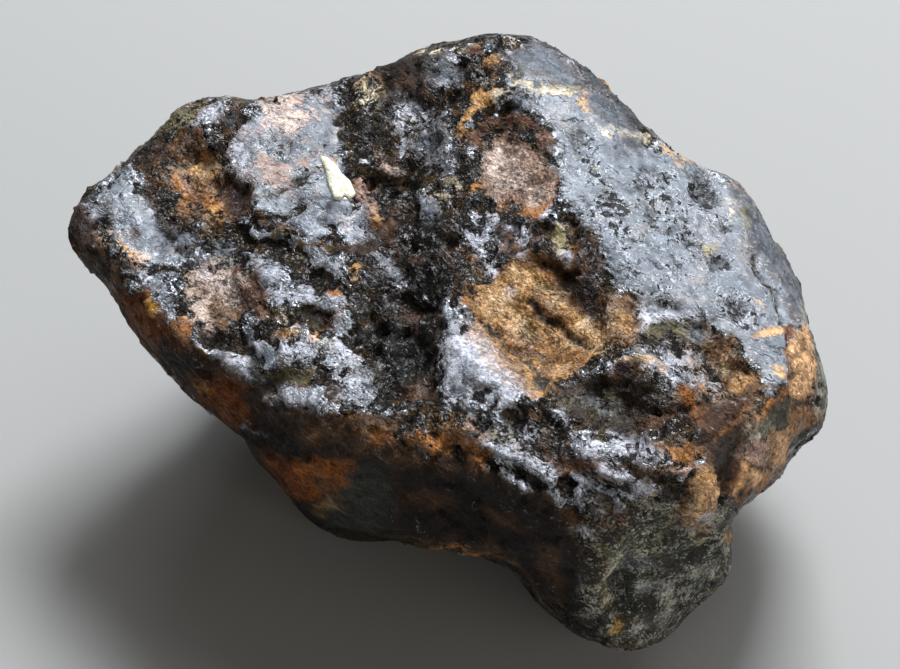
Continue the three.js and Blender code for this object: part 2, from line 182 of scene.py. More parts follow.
LOWER_BED_CRACK = [(480, 322), (497, 337), (512, 348), (528, 363), (546, 382)]
BROW_RIB = [(485, 445), (505, 452), (525, 462), (540, 470), (550, 490), (560, 498)]
LOW_BROW_RIB = [(500, 474), (516, 480), (532, 490)]
STEEP_RIB = [(562, 418), (572, 430), (578, 446), (592, 456)]
MIDDLE_RIB = [(584, 434), (598, 448), (611, 458)]
LONG_RIB = [(600, 468), (613, 471), (630, 482), (650, 489)]
LOWEST_RIB = [(576, 478), (590, 490), (606, 496), (622, 500)]


# ---- Finishes ---------------------------------------------------------------------------------------------
def colour(red, green, blue):
    """A linear colour from the 0 to 255 scale of a screen."""
    return tuple(((c / 255 + 0.055) / 1.055) ** 2.4 for c in (red, green, blue))


# Finishes of the stains: colour and roughness.
FINISHES = {
    "ochre": (colour(206, 156, 96), 0.46),
    "golden brown": (colour(156, 106, 52), 0.50),
    "pale ochre": (colour(230, 186, 134), 0.50),
    "yellow ochre": (colour(214, 160, 60), 0.60),
    "orange rust": (colour(170, 110, 50), 0.50),
    "rust brown": (colour(112, 76, 40), 0.55),
    "red brown": (colour(100, 64, 44), 0.45),
    "maroon": (colour(48, 24, 22), 0.50),
    "pink tan": (colour(186, 156, 140), 0.44),
    "pale pink": (colour(222, 200, 188), 0.44),
    "tan": (colour(240, 190, 140), 0.58),
    "cream": (colour(236, 224, 196), 0.60),
    "amber": (colour(134, 72, 18), 0.75),
    "olive": (colour(100, 96, 68), 0.55),
    "dark green": (colour(60, 65, 56), 0.70),
    "pale green grey": (colour(160, 164, 150), 0.60),
    "umber": (colour(46, 32, 21), 0.65),
    "black": (colour(20, 17, 14), 0.50),
    "pale grey": (colour(184, 189, 202), 0.34),
    "white grey": (colour(212, 216, 230), 0.32),
    "slate": (colour(98, 106, 116), 0.50),
    "pale olive": (colour(176, 166, 122), 0.50),
    "oily black": (colour(16, 15, 14), 0.20),
    "olive ochre": (colour(160, 132, 78), 0.50),
    # Partly the crust's own dark brown, partly painted shade where it lies on the left flank and the front.
    "dry umber and shade": (colour(31, 21, 14), 0.80),
    "dry rust": (colour(62, 38, 20), 0.80),
    "deep orange": (colour(178, 104, 36), 0.75),
    "moss black": (colour(28, 31, 25), 0.55),
    "dark rust": (colour(84, 55, 33), 0.55),
    "dark slate": (colour(66, 72, 80), 0.60),
}

# Stains of the show side, and among them some painted shadows and highlights: finish, cover and shape. A
# later one lies over an earlier one.
SHOW_STAINS_AND_PAINTED_LIGHT = [
    # left mass
    ("pale grey", 0.5, area((335, 208), (350, 203), (376, 215), (380, 238), (352, 241), (340, 228))),
    ("pale grey", 0.5, area((300, 250), (325, 248), (346, 262), (345, 278), (318, 276), (303, 264))),
    ("pale grey", 0.5, area((250, 258), (275, 256), (292, 278), (320, 288), (352, 296), (350, 306),
                            (300, 304), (262, 290))),
    ("pale grey", 0.35, area((245, 130), (265, 100), (330, 90), (340, 150), (345, 200), (300, 200),
                             (255, 195), (240, 160))),
    ("pink tan", 0.32, CROWN),
    ("slate", 0.5, spot(300, 150, 22, 12, 20)),
    ("slate", 0.45, spot(322, 132, 16, 9, 60)),
    ("pale grey", 0.3, area((108, 190), (125, 175), (150, 205), (170, 245), (145, 258), (110, 235))),
    ("slate", 0.5, spot(128, 214, 9, 20, 10)),
    ("pale grey", 0.4, spot(300, 298, 34, 8, 5)),
    ("umber", 0.55, spot(175, 116, 30, 13, -30)),
    ("pale olive", 0.3, spot(180, 116, 22, 8, -30)),
    ("oily black", 0.7, spot(148, 160, 20, 12, -45)),
    ("oily black", 0.7, spot(102, 217, 10, 14, 20)),
    ("oily black", 0.75, spot(193, 131, 9, 6)),
    ("cream", 0.85, spot(80, 203, 5, 4)),
    ("white grey", 0.6, spot(94, 209, 7, 9)),
    ("white grey", 0.6, spot(209, 112, 14, 9, 130)),
    ("white grey", 0.55, spot(241, 158, 14, 22, 20)),
    ("white grey", 0.5, spot(155, 251, 12, 9)),
    ("white grey", 0.5, spot(146, 277, 13, 10, 40)),
    ("slate", 0.6, spot(163, 232, 13, 18)),
    ("slate", 0.6, spot(185, 238, 16, 12)),
    ("slate", 0.5, spot(225, 248, 26, 12)),
    ("umber", 0.75, spot(135, 232, 6, 9)),
    ("black", 0.75, spot(230, 120, 16, 9, 130)),
    ("umber", 0.9, area((58, 215), (84, 205), (96, 225), (104, 255), (128, 280), (112, 296), (70, 262),
                        (56, 240))),
    ("rust brown", 0.5, spot(76, 252, 8, 14)),
    ("rust brown", 0.5, spot(120, 286, 12, 7, 30)),
    ("maroon", 0.6, spot(72, 232, 9, 9)),
    ("rust brown", 0.68, spot(199, 178, 42, 36, 60)),
    ("orange rust", 0.65, spot(183, 190, 16, 9, 40)),
    ("orange rust", 0.62, spot(213, 203, 18, 8, 60)),
    ("dark rust", 0.7, spot(188, 146, 20, 9, -15)),
    ("ochre", 0.5, spot(216, 214, 8, 5)),
    ("ochre", 0.95, spot(199, 165, 14, 13)),
    ("red brown", 0.6, spot(222, 190, 14, 8, 90)),
    ("maroon", 0.98, spot(236, 199, 18, 14, 90)),
    ("pink tan", 0.5, spot(185, 180, 6, 10)),
    ("pale pink", 0.62, spot(284, 112, 26, 18, -10)),
    ("pink tan", 0.42, spot(307, 100, 14, 10)),
    ("pink tan", 0.72, spot(276, 173, 16, 12, 30)),
    ("pink tan", 0.35, spot(306, 160, 10, 8)),
    ("tan", 0.5, spot(126, 248, 24, 7, 28)),
    ("pale pink", 0.45, spot(112, 232, 16, 6, 10)),
    ("black", 0.8, spot(129, 266, 14, 6, 25)),
    # Painted shadow along the step at the right edge of the left plate.
    ("oily black", 0.95, streak(3.5, (146, 180), (156, 206), (166, 224), (178, 248), soft=0.6)),
    ("oily black", 0.6, streak(3, (178, 248), (200, 258), (222, 256), soft=0.6)),
    ("black", 0.7, streak(2.2, *CROWN_CRACK)),
    ("umber", 0.2, area((245, 205), (300, 210), (345, 235), (345, 262), (300, 250), (245, 245))),
    ("rust brown", 0.5, streak(4, (262, 214), (285, 226), (303, 240), (330, 246))),
    ("pale olive", 0.4, streak(4, (268, 232), (288, 236), (300, 252))),
    ("pale ochre", 0.4, streak(3, (310, 214), (322, 222), (330, 232))),
    ("pale pink", 0.95, spot(221, 284, 32, 21, 10)),
    ("pale pink", 0.6, spot(210, 314, 24, 16, 50)),
    ("white grey", 0.35, spot(206, 274, 10, 7)),
    ("red brown", 0.52, spot(234, 296, 5, 12, 15)),
    ("red brown", 0.55, spot(212, 270, 10, 4)),
    ("rust brown", 0.55, spot(201, 292, 5, 9)),
    ("rust brown", 0.72, spot(216, 313, 15, 9, 60)),
    ("rust brown", 0.7, spot(224, 327, 9, 7)),
    ("red brown", 0.75, spot(257, 292, 26, 8, 80)),
    ("red brown", 0.7, streak(4, (236, 268), (244, 290), (238, 312))),
    ("rust brown", 0.7, streak(3, (214, 300), (226, 308), (236, 322))),
    ("rust brown", 0.6, spot(282, 334, 14, 9, 20)),
    ("yellow ochre", 0.5, spot(290, 334, 7, 5, 20)),
    ("tan", 0.55, spot(316, 337, 7, 7)),
    ("olive", 0.8, spot(308, 318, 13, 6, 15)),
    ("orange rust", 0.6, streak(4, (322, 283), (345, 293))),
    ("ochre", 0.5, spot(355, 267, 10, 7)),
    ("pale ochre", 0.5, spot(358, 281, 10, 6)),
    ("orange rust", 0.8, spot(184, 333, 20, 8, 100)),
    ("rust brown", 0.7, spot(192, 356, 14, 8)),
    ("olive", 0.9, area((262, 372), (300, 366), (316, 374), (300, 388), (266, 392))),
    ("white grey", 0.6, streak(6, (380, 260), (392, 270), (402, 280))),
    ("white grey", 0.5, spot(393, 304, 7, 7)),
    ("white grey", 0.55, spot(253, 348, 11, 12, 30)),
    ("white grey", 0.5, spot(305, 352, 34, 12, 10)),
    ("white grey", 0.5, spot(346, 350, 13, 14)),
    ("white grey", 0.6, spot(244, 370, 17, 11, 35)),
    ("white grey", 0.6, spot(358, 386, 25, 17, 30)),
    ("white grey", 0.6, spot(298, 398, 26, 9, 10)),
    ("pale olive", 0.4, streak(3, (322, 356), (330, 340), (340, 333))),
    ("oily black", 0.8, spot(382, 226, 16, 20)),
    ("umber", 0.8, spot(364, 248, 20, 9)),
    ("umber", 0.8, spot(322, 316, 22, 11)),
    ("oily black", 0.85, spot(256, 376, 6, 11)),
    ("umber", 0.8, spot(333, 392, 7, 9)),
    ("oily black", 0.8, area((362, 322), (400, 312), (440, 320), (442, 352), (434, 400), (400, 402),
                             (370, 368))),
    ("black", 0.7, streak(5, (248, 345), (258, 368), (262, 384))),
    ("black", 0.6, streak(6, (205, 335), (235, 342), (248, 350))),
    # Left flank and front: their darkest brown is partly the crust's own colour and partly painted shade on
    # sides turned from the light.
    ("dry umber and shade", 1.0, area((100, 285), (120, 292), (150, 300), (176, 330), (200, 362), (190, 385),
                            (150, 355), (118, 325))),
    ("amber", 0.95, area((118, 300), (142, 292), (164, 322), (176, 342), (150, 344), (130, 325))),
    ("yellow ochre", 0.8, spot(151, 306, 8, 5, 80)),
    ("dry umber and shade", 1.0, area((165, 350), (215, 362), (262, 385), (270, 425), (300, 452), (262, 462),
                            (225, 440), (180, 385))),
    ("amber", 1.0, area((194, 380), (222, 374), (246, 388), (250, 418), (232, 426), (206, 402))),
    ("golden brown", 0.9, spot(206, 386, 9, 6, 20)),
    # Painted glints: two thin pale streaks on the dark flank.
    ("pale grey", 0.45, streak(2, (244, 424), (256, 430), (266, 436))),
    ("pale grey", 0.45, streak(2, (268, 424), (280, 432), (292, 440))),
    ("rust brown", 0.6, spot(118, 285, 10, 8)),
    ("dry umber and shade", 0.75, area((258, 410), (300, 412), (400, 418), (400, 466), (320, 462), (262, 445))),
    ("golden brown", 0.85, spot(314, 437, 12, 8, -40)),
    ("pale ochre", 0.7, spot(312, 437, 5, 4)),
    ("black", 0.85, spot(336, 446, 14, 12)),
    ("dark green", 0.6, spot(300, 455, 18, 6)),
    ("rust brown", 0.5, area((290, 420), (360, 420), (480, 425), (495, 455), (480, 470), (300, 452))),
    ("orange rust", 0.55, spot(380, 440, 10, 6)),
    ("orange rust", 0.62, spot(440, 440, 28, 12, 5)),
    ("orange rust", 0.7, spot(482, 457, 12, 12)),
    ("dry umber and shade", 1.0, area((255, 440), (340, 452), (400, 462), (400, 545), (320, 540), (275, 510),
                            (250, 466))),
    ("deep orange", 0.95, area((290, 462), (350, 460), (350, 486), (330, 498), (300, 496), (286, 480),
                               edge=6)),
    ("amber", 0.95, area((258, 450), (285, 463), (296, 474), (310, 492), (306, 504), (284, 492), edge=6)),
    ("rust brown", 0.9, spot(322, 484, 12, 9, 30)),
    ("dark green", 0.95, area((352, 468), (390, 470), (400, 500), (375, 538), (325, 532), (330, 500))),
    ("pale ochre", 0.45, spot(328, 507, 14, 7, -10)),
    ("orange rust", 0.7, streak(2.5, (428, 548), (455, 551), (490, 553))),
    ("ochre", 0.55, spot(420, 521, 10, 4, -10)),
    ("orange rust", 0.6, spot(466, 487, 8, 6)),
    ("ochre", 0.5, spot(497, 537, 5, 9)),
    ("ochre", 0.45, spot(520, 560, 8, 5)),
    ("dry umber and shade", 1.0, area((395, 465), (480, 470), (560, 505), (590, 560), (580, 620), (540, 600),
                            (500, 550), (395, 540))),
    ("rust brown", 0.5, spot(430, 500, 26, 8, 10)),
    ("rust brown", 0.5, spot(500, 520, 22, 7, 30)),
    ("rust brown", 0.45, spot(548, 566, 10, 22, -20)),
    # valley
    ("oily black", 0.4, VALLEY),
    ("dark rust", 0.55, spot(390, 228, 13, 20)),
    ("dark rust", 0.45, spot(408, 318, 14, 12)),
    ("dark rust", 0.5, spot(424, 392, 18, 16)),
    ("moss black", 0.5, spot(440, 262, 16, 26)),
    ("moss black", 0.45, spot(412, 352, 24, 26)),
    ("moss black", 0.4, spot(384, 130, 12, 30)),
    ("oily black", 0.9, spot(402, 76, 26, 24)),
    ("dry umber and shade", 0.85, spot(402, 76, 26, 21)),
    ("rust brown", 0.4, spot(410, 80, 12, 8)),
    ("umber", 0.7, spot(412, 62, 30, 8, -12)),
    ("oily black", 0.75, spot(476, 75, 26, 10, -5)),
    ("slate", 0.75, spot(444, 72, 16, 17)),
    ("white grey", 0.4, spot(442, 82, 7, 6)),
    ("slate", 0.6, spot(522, 100, 14, 15)),
    ("pale ochre", 0.5, spot(367, 86, 12, 8, 30)),
    ("pale ochre", 0.45, spot(356, 103, 10, 5)),
    ("cream", 0.4, spot(446, 47, 34, 4, -8)),
    ("red brown", 0.7, spot(473, 52, 12, 7)),
    ("ochre", 0.7, spot(496, 58, 8, 7)),
    # Painted shadow in the gap under the knob.
    ("oily black", 0.85, streak(6, (400, 97), (425, 104), (455, 106))),
    ("white grey", 0.6, streak(4, (400, 112), (402, 135), (403, 160))),
    ("white grey", 0.65, spot(414, 112, 15, 7)),
    ("slate", 0.6, spot(430, 145, 24, 26)),
    ("oily black", 0.6, spot(462, 160, 10, 20)),
    ("ochre", 0.8, streak(5, (495, 88), (478, 100), (466, 115), (462, 132))),
    ("cream", 0.85, spot(502, 92, 8, 6)),
    ("cream", 0.45, spot(364, 96, 14, 12)),
    ("ochre", 0.45, spot(466, 128, 5, 9)),
    ("pink tan", 0.8, area((352, 186), (364, 172), (376, 182), (382, 205), (372, 216), (358, 206))),
    ("pink tan", 0.65, spot(384, 162, 13, 6, 35)),
    ("ochre", 0.5, spot(377, 217, 6, 8)),
    ("cream", 0.9, spot(451, 182, 7, 5)),
    ("cream", 0.75, spot(445, 196, 12, 4, -5)),
    ("red brown", 0.4, spot(420, 250, 26, 14)),
    ("oily black", 0.6, spot(424, 240, 24, 18)),
    ("slate", 0.45, spot(430, 210, 14, 11)),
    ("oily black", 0.7, spot(456, 223, 10, 12)),
    ("oily black", 0.75, spot(442, 270, 13, 14)),
    ("white grey", 0.5, spot(408, 286, 8, 6)),
    ("oily black", 0.8, streak(4, (452, 278), (446, 292), (438, 300))),
    # right mass
    # Painted shade: slate bands dim the sheen along the top crest and the right rim, where the ground turns
    # away from the light.
    ("slate", 0.75, area((500, 56), (540, 40), (600, 88), (655, 138), (640, 160), (596, 118), (560, 84),
                         (520, 72))),
    ("slate", 0.8, area((735, 176), (752, 190), (785, 250), (812, 310), (800, 330), (775, 280), (748, 232),
                        (728, 190))),
    ("dark slate", 0.75, streak(5, (752, 182), (772, 216), (790, 256), (812, 306))),
    ("dark slate", 0.7, streak(5, (548, 40), (580, 62), (612, 92), (640, 122))),
    ("slate", 0.6, spot(690, 172, 22, 8, 20)),
    ("slate", 0.4, area((556, 200), (600, 216), (640, 262), (700, 318), (660, 318), (610, 278), (590, 240))),
    ("pale olive", 0.35, streak(5, (592, 166), (600, 180), (610, 196))),
    ("pale olive", 0.45, spot(708, 252, 11, 8, 50)),
    ("pale olive", 0.35, spot(746, 216, 7, 9)),
    ("umber", 0.4, streak(4, (728, 298), (736, 310), (744, 322))),
    ("pink tan", 0.3, spot(690, 284, 22, 9, 15)),
    ("pink tan", 0.35, spot(748, 282, 9, 16, -25)),
    ("pink tan", 0.3, spot(706, 330, 22, 8, 10)),
    ("pink tan", 0.3, spot(744, 186, 9, 6, 60)),
    ("cream", 0.7, streak(5, (518, 77), (533, 85), (550, 90), (570, 93))),
    ("black", 0.7, streak(2.5, (508, 71), (524, 74))),
    ("pale ochre", 0.4, spot(582, 104, 12, 5, 90)),
    ("black", 0.5, spot(580, 145, 18, 8, 110)),
    ("cream", 0.3, streak(4, (600, 132), (640, 132), (655, 138))),
    ("pale ochre", 0.55, streak(3.5, (657, 143), (670, 152), (684, 162))),
    ("cream", 0.5, spot(728, 207, 10, 5, 65)),
    ("cream", 0.3, streak(4, (732, 216), (740, 236), (750, 254))),
    ("black", 0.6, spot(706, 190, 15, 7, 80)),
    ("pink tan", 0.9, area((485, 150), (510, 140), (545, 150), (556, 180), (548, 204), (500, 208),
                           (478, 186))),
    ("pale pink", 0.9, spot(500, 168, 20, 13, 80)),
    ("pale pink", 0.8, spot(532, 186, 14, 8, 40)),
    ("red brown", 0.85, streak(8, (478, 140), (488, 124), (505, 124))),
    ("red brown", 0.8, streak(7, (512, 118), (534, 124), (546, 140))),
    ("red brown", 0.6, streak(5, (506, 126), (512, 146))),
    ("rust brown", 0.55, spot(535, 170, 22, 7, 80)),
    ("orange rust", 0.75, streak(6, (506, 208), (526, 211), (545, 207))),
    ("orange rust", 0.5, spot(475, 190, 9, 6)),
    ("red brown", 0.5, spot(558, 172, 11, 5, 90)),
    ("rust brown", 0.35, RIB_GROUND),
    ("pale grey", 0.4, area((460, 215), (480, 205), (500, 225), (498, 240), (480, 245), (462, 235))),
    ("white grey", 0.6, streak(5, (475, 243), (485, 255), (494, 270))),
    ("white grey", 0.65, streak(2.5, (487, 205), (500, 220), (515, 232))),
    ("white grey", 0.7, spot(525, 235, 8, 8)),
    ("white grey", 0.6, spot(520, 254, 5, 5)),
    ("white grey", 0.6, spot(550, 212, 6, 5)),
    ("white grey", 0.5, streak(3, (562, 250), (570, 262))),
    ("pale olive", 0.6, spot(559, 237, 9, 12)),
    ("maroon", 0.85, streak(4, (503, 228), (508, 250), (513, 272))),
    ("oily black", 0.9, streak(6, (538, 220), (545, 240), (550, 260))),
    # Painted shadow at the foot of the plateau's scarp.
    ("oily black", 0.9, streak(9, (582, 234), (590, 260), (594, 290))),
    ("ochre", 1.0, OCHRE_BED),
    ("pale ochre", 0.95, spot(523, 278, 13, 8, 40)),
    ("pale ochre", 0.95, spot(498, 304, 22, 7, 35)),
    ("pale ochre", 0.9, streak(5, (585, 322), (600, 335), (597, 346))),
    ("ochre", 0.95, streak(8, (474, 332), (494, 356), (514, 376), (538, 390), soft=0.5)),
    ("pink tan", 0.8, streak(5, (474, 336), (490, 358), (508, 378), (530, 391))),
    ("rust brown", 0.8, streak(3, (500, 352), (514, 366), (526, 382))),
    ("golden brown", 0.7, spot(470, 302, 16, 7, 50)),
    ("golden brown", 0.95, streak(6, (540, 296), (556, 312), (570, 322))),
    ("golden brown", 0.95, streak(8, (512, 330), (530, 346), (556, 362), (580, 358))),
    ("golden brown", 0.95, spot(552, 278, 14, 7, 20)),
    ("olive ochre", 0.95, spot(530, 330, 11, 8, 55)),
    ("olive ochre", 0.95, spot(548, 288, 9, 5, 30)),
    ("pale ochre", 0.95, spot(566, 344, 13, 5, 20)),
    ("pale ochre", 0.95, spot(508, 320, 16, 6, 25)),
    ("umber", 0.98, streak(3.2, *BED_CRACK, soft=0.4)),
    ("umber", 0.98, streak(3.2, *LOWER_BED_CRACK, soft=0.4)),
    ("pale ochre", 0.95, spot(492, 296, 12, 6, -50)),
    ("pale pink", 0.9, spot(508, 290, 7, 5)),
    ("rust brown", 0.9, spot(566, 334, 12, 4, 30)),
    ("rust brown", 0.9, streak(3, (520, 346), (536, 356), (552, 368))),
    # Painted shadow in the hollow right of the ochre bed.
    ("maroon", 0.97, streak(10, (562, 266), (578, 286), (602, 318))),
    ("rust brown", 0.7, spot(550, 264, 30, 6, 8)),
    ("rust brown", 0.75, area((604, 300), (636, 298), (648, 328), (636, 345), (605, 342))),
    ("ochre", 0.4, spot(620, 324, 12, 9)),
    ("white grey", 0.6, area((640, 296), (700, 316), (698, 332), (640, 328))),
    ("oily black", 0.85, spot(665, 306, 12, 6, 20)),
    ("olive", 0.75, spot(680, 335, 24, 8, 5)),
    ("slate", 0.7, spot(698, 333, 8, 12)),
    ("oily black", 0.85, streak(2.5, (698, 310), (712, 335), (740, 345))),
    ("oily black", 0.9, streak(3.5, (645, 346), (655, 354), (664, 362))),
    ("white grey", 0.6, area((655, 346), (690, 348), (692, 376), (662, 372))),
    ("white grey", 0.6, streak(4, (650, 366), (670, 374), (690, 380))),
    ("maroon", 0.85, spot(628, 369, 13, 9)),
    ("pale ochre", 0.5, streak(5, (606, 350), (640, 360), (660, 365))),
    ("rust brown", 0.85, area((708, 345), (735, 336), (752, 365), (765, 392), (735, 400), (705, 382))),
    ("ochre", 0.85, spot(741, 380, 8, 6)),
    ("pale olive", 0.4, spot(722, 370, 8, 6)),
    ("rust brown", 0.75, spot(690, 402, 22, 10, 50)),
    ("deep orange", 0.8, streak(5, (688, 396), (696, 408), (700, 418))),
    ("golden brown", 0.6, spot(702, 388, 11, 6, 40)),
    ("dark rust", 0.85, spot(716, 412, 28, 11, -8)),
    ("pink tan", 0.45, streak(6, (688, 358), (712, 385), (720, 400))),
    ("umber", 0.8, area((552, 388), (600, 374), (655, 376), (678, 410), (640, 436), (590, 425), (560, 412))),
    ("oily black", 0.5, spot(646, 404, 28, 18)),
    ("dark rust", 0.55, spot(628, 400, 18, 10, 10)),
    ("umber", 0.55, spot(586, 414, 24, 10)),
    ("olive", 0.4, spot(604, 414, 14, 7)),
    ("moss black", 0.55, spot(606, 396, 24, 14, 10)),
    ("olive", 0.5, spot(604, 394, 13, 7, 10)),
    ("dark rust", 0.6, spot(650, 424, 18, 9)),
    ("ochre", 0.5, spot(550, 408, 7, 5)),
    ("olive", 0.6, spot(565, 405, 9, 8)),
    ("olive", 0.5, spot(670, 330, 24, 10, 5)),
    ("white grey", 0.6, streak(4, (470, 384), (485, 385), (500, 387))),
    ("white grey", 0.6, spot(509, 400, 12, 10)),
    ("cream", 0.5, spot(502, 395, 4, 3)),
    ("slate", 0.6, streak(5, (468, 412), (478, 422), (488, 432))),
    ("pink tan", 0.6, streak(5, (465, 420), (478, 435), (490, 447))),
    ("pale grey", 0.6, spot(522, 434, 18, 14)),
    ("white grey", 0.5, spot(630, 444, 20, 10, 10)),
    ("oily black", 0.85, area((545, 425), (566, 430), (572, 474), (556, 480), (545, 462))),
    ("umber", 0.6, spot(588, 467, 14, 5)),
    ("pink tan", 0.4, streak(3, (520, 452), (540, 458), (556, 470))),
    ("rust brown", 0.45, streak(3, (566, 470), (590, 474), (612, 484))),
    ("pale olive", 0.35, spot(505, 436, 12, 7, 20)),
    ("ochre", 0.4, spot(445, 418, 14, 9, -20)),
    ("rust brown", 0.7, area((560, 455), (610, 458), (640, 480), (600, 485), (560, 470))),
    ("dark rust", 0.6, streak(4, (596, 464), (622, 466), (654, 474))),
    ("umber", 0.7, streak(4, (600, 424), (622, 434), (652, 446))),
    ("golden brown", 0.75, spot(680, 452, 22, 8, 5)),
    ("pink tan", 0.6, spot(682, 470, 24, 7, 5)),
    ("dry rust", 0.95, area((694, 425), (750, 400), (748, 440), (740, 500), (720, 490), (716, 455),
                            (690, 445))),
    ("golden brown", 0.6, streak(3, (716, 434), (732, 424), (746, 412))),
    ("dry umber and shade", 0.9, spot(724, 456, 13, 28, 10)),
    ("oily black", 0.8, spot(692, 438, 9, 6)),
    ("tan", 0.3, spot(760, 300, 22, 10, 60)),
    ("tan", 0.5, streak(4, (757, 335), (770, 334), (784, 328))),
    ("tan", 0.45, spot(780, 372, 12, 8, 60)),
    ("black", 0.85, streak(2.2, (752, 252), (760, 268), (768, 282), (776, 300), (782, 322))),
    ("white grey", 0.7, area((445, 312), (462, 316), (495, 355), (522, 390), (510, 400), (480, 390),
                             (450, 405), (446, 370))),
    ("slate", 0.5, spot(466, 372, 9, 14, 20)),
    ("pale ochre", 0.3, streak(3, (470, 336), (486, 358), (504, 380))),
    # Painted highlights: pale streaks along the flow ribs where they catch the light.
    ("white grey", 0.5, streak(4.5, *BROW_RIB)),
    ("white grey", 0.5, streak(3.5, *LOW_BROW_RIB)),
    ("white grey", 0.5, streak(4.5, *STEEP_RIB)),
    ("white grey", 0.5, streak(4, *MIDDLE_RIB)),
    ("white grey", 0.35, streak(3, (588, 398), (597, 407), (605, 415))),
    ("white grey", 0.5, streak(4, (610, 435), (622, 440), (634, 445))),
    ("pale grey", 0.6, spot(650, 456, 16, 8, 5)),
    ("white grey", 0.5, streak(4.5, *LONG_RIB)),
    ("white grey", 0.5, streak(6, *LOWEST_RIB)),
    # broken right end
    ("tan", 0.7, streak(3.5, (752, 336), (763, 335), (772, 331), (779, 326))),
    ("umber", 0.5, spot(775, 350, 7, 3)),
    ("umber", 0.6, spot(753, 354, 4, 4)),
    ("tan", 0.6, spot(784, 373, 11, 5, 55)),
    ("tan", 0.95, area((788, 345), (800, 331), (812, 345), (818, 362), (816, 398), (800, 402), (792, 398),
                       (794, 370))),
    ("pale ochre", 0.5, spot(803, 371, 10, 5, 60)),
    ("umber", 0.5, spot(802, 352, 5, 4)),
    ("red brown", 0.85, spot(788, 331, 5, 8)),
    ("pale green grey", 0.8, streak(4, (802, 306), (808, 325), (812, 342))),
    ("pale green grey", 0.65, streak(4, (820, 362), (824, 385), (827, 405), (821, 420))),
    ("oily black", 0.9, streak(1.8, (776, 302), (783, 325), (788, 345), (794, 362), (796, 378), (790, 398))),
    ("umber", 0.7, spot(778, 389, 10, 4)),
    ("orange rust", 0.85, streak(4, (784, 393), (775, 402), (766, 411), (752, 424))),
    ("dark green", 0.9, area((766, 420), (780, 402), (792, 400), (801, 409), (786, 426), (772, 433))),
    ("umber", 0.8, streak(2, (798, 406), (812, 403), (820, 408))),
    ("golden brown", 0.9, area((800, 412), (818, 408), (821, 419), (806, 432), (794, 433))),
    ("pale green grey", 0.8, area((752, 424), (766, 418), (771, 432), (764, 443), (751, 441))),
    ("umber", 0.6, spot(757, 431, 3, 3)),
    ("tan", 0.95, area((774, 437), (796, 429), (790, 442), (785, 460), (778, 471), (771, 460))),
    ("pink tan", 0.85, area((752, 444), (769, 442), (770, 462), (758, 467), (748, 465), (746, 455))),
    ("red brown", 0.4, spot(762, 452, 4, 8)),
    ("slate", 0.6, spot(768, 461, 4, 5)),
    ("slate", 0.6, spot(760, 473, 5, 4)),
    ("golden brown", 0.9, area((745, 468), (770, 466), (773, 478), (760, 490), (740, 501), (738, 497),
                               (742, 485))),
    ("tan", 0.9, spot(757, 476, 12, 5, -30)),
    ("pale ochre", 0.55, spot(750, 479, 7, 5)),
    ("tan", 0.7, streak(2, (745, 468), (742, 484), (737, 499))),
    ("oily black", 0.8, streak(1.3, (749, 483), (745, 490), (741, 497), soft=0.5)),
    ("umber", 0.7, streak(1.5, (750, 466), (762, 467), (776, 471), soft=0.5)),
    # foot
    ("dark green", 0.85, FOOT),
    ("moss black", 0.5, area((625, 545), (700, 555), (725, 565), (690, 610), (640, 640), (620, 600))),
    ("moss black", 0.6, area((560, 560), (590, 560), (600, 620), (625, 650), (580, 625))),
    ("pale green grey", 0.6, spot(640, 562, 20, 8, 20)),
    ("pale green grey", 0.5, spot(652, 588, 20, 9, 10)),
    ("pale green grey", 0.5, spot(640, 628, 24, 7, -20)),
    ("pale green grey", 0.45, spot(704, 572, 20, 6, -5)),
    ("tan", 0.95, area((690, 478), (706, 472), (718, 480), (726, 494), (718, 505), (712, 518), (694, 531),
                       (680, 520), (675, 512), (684, 495))),
    ("pale ochre", 0.8, spot(699, 499, 15, 10, -60)),
    ("ochre", 0.6, spot(706, 479, 9, 6)),
    ("red brown", 0.3, spot(715, 493, 7, 8)),
    ("pale green grey", 0.5, spot(692, 500, 4, 9, 20)),
    ("pale grey", 0.8, spot(706, 519, 9, 4, -10)),
    ("red brown", 0.3, spot(686, 518, 9, 6, 40)),
    ("oily black", 0.8, streak(2, (690, 478), (682, 494), (674, 508), (680, 524), (694, 533), soft=0.6)),
    ("pale green grey", 0.55, spot(722, 518, 4, 8, 20)),
    ("yellow ochre", 0.7, spot(728, 537, 5, 8)),
    ("pale olive", 0.6, spot(700, 543, 9, 7)),
    ("pale olive", 0.6, spot(665, 537, 4, 7)),
    ("pale olive", 0.4, spot(650, 530, 5, 3)),
    ("pale olive", 0.7, spot(652, 493, 6, 3, -20)),
    ("olive", 0.7, spot(660, 524, 10, 6)),
    ("olive", 0.6, spot(645, 550, 22, 8, 10)),
    ("pale olive", 0.5, spot(603, 550, 9, 4, 10)),
    ("pale olive", 0.4, spot(621, 542, 5, 3)),
    ("pale grey", 0.7, spot(646, 561, 7, 4, 20)),
    ("slate", 0.6, spot(630, 566, 8, 6)),
    ("pale olive", 0.6, streak(5, (613, 560), (607, 575), (603, 592), (607, 606))),
    ("pale green grey", 0.6, streak(4, (618, 552), (608, 568), (600, 590))),
    ("rust brown", 0.45, streak(4, (604, 562), (597, 578), (590, 595))),
    ("oily black", 0.75, streak(3.5, (619, 572), (618, 590), (620, 606))),
    ("pale grey", 0.35, streak(3, (640, 584), (646, 594), (660, 590), (668, 586))),
    ("pale green grey", 0.45, spot(708, 571, 10, 5)),
    ("pale green grey", 0.4, spot(664, 617, 11, 6, -10)),
    ("pale grey", 0.5, spot(636, 630, 5, 3, 20)),
    ("yellow ochre", 0.8, spot(616, 625, 7, 4, -40)),
    ("white grey", 0.6, spot(616, 615, 4, 2)),
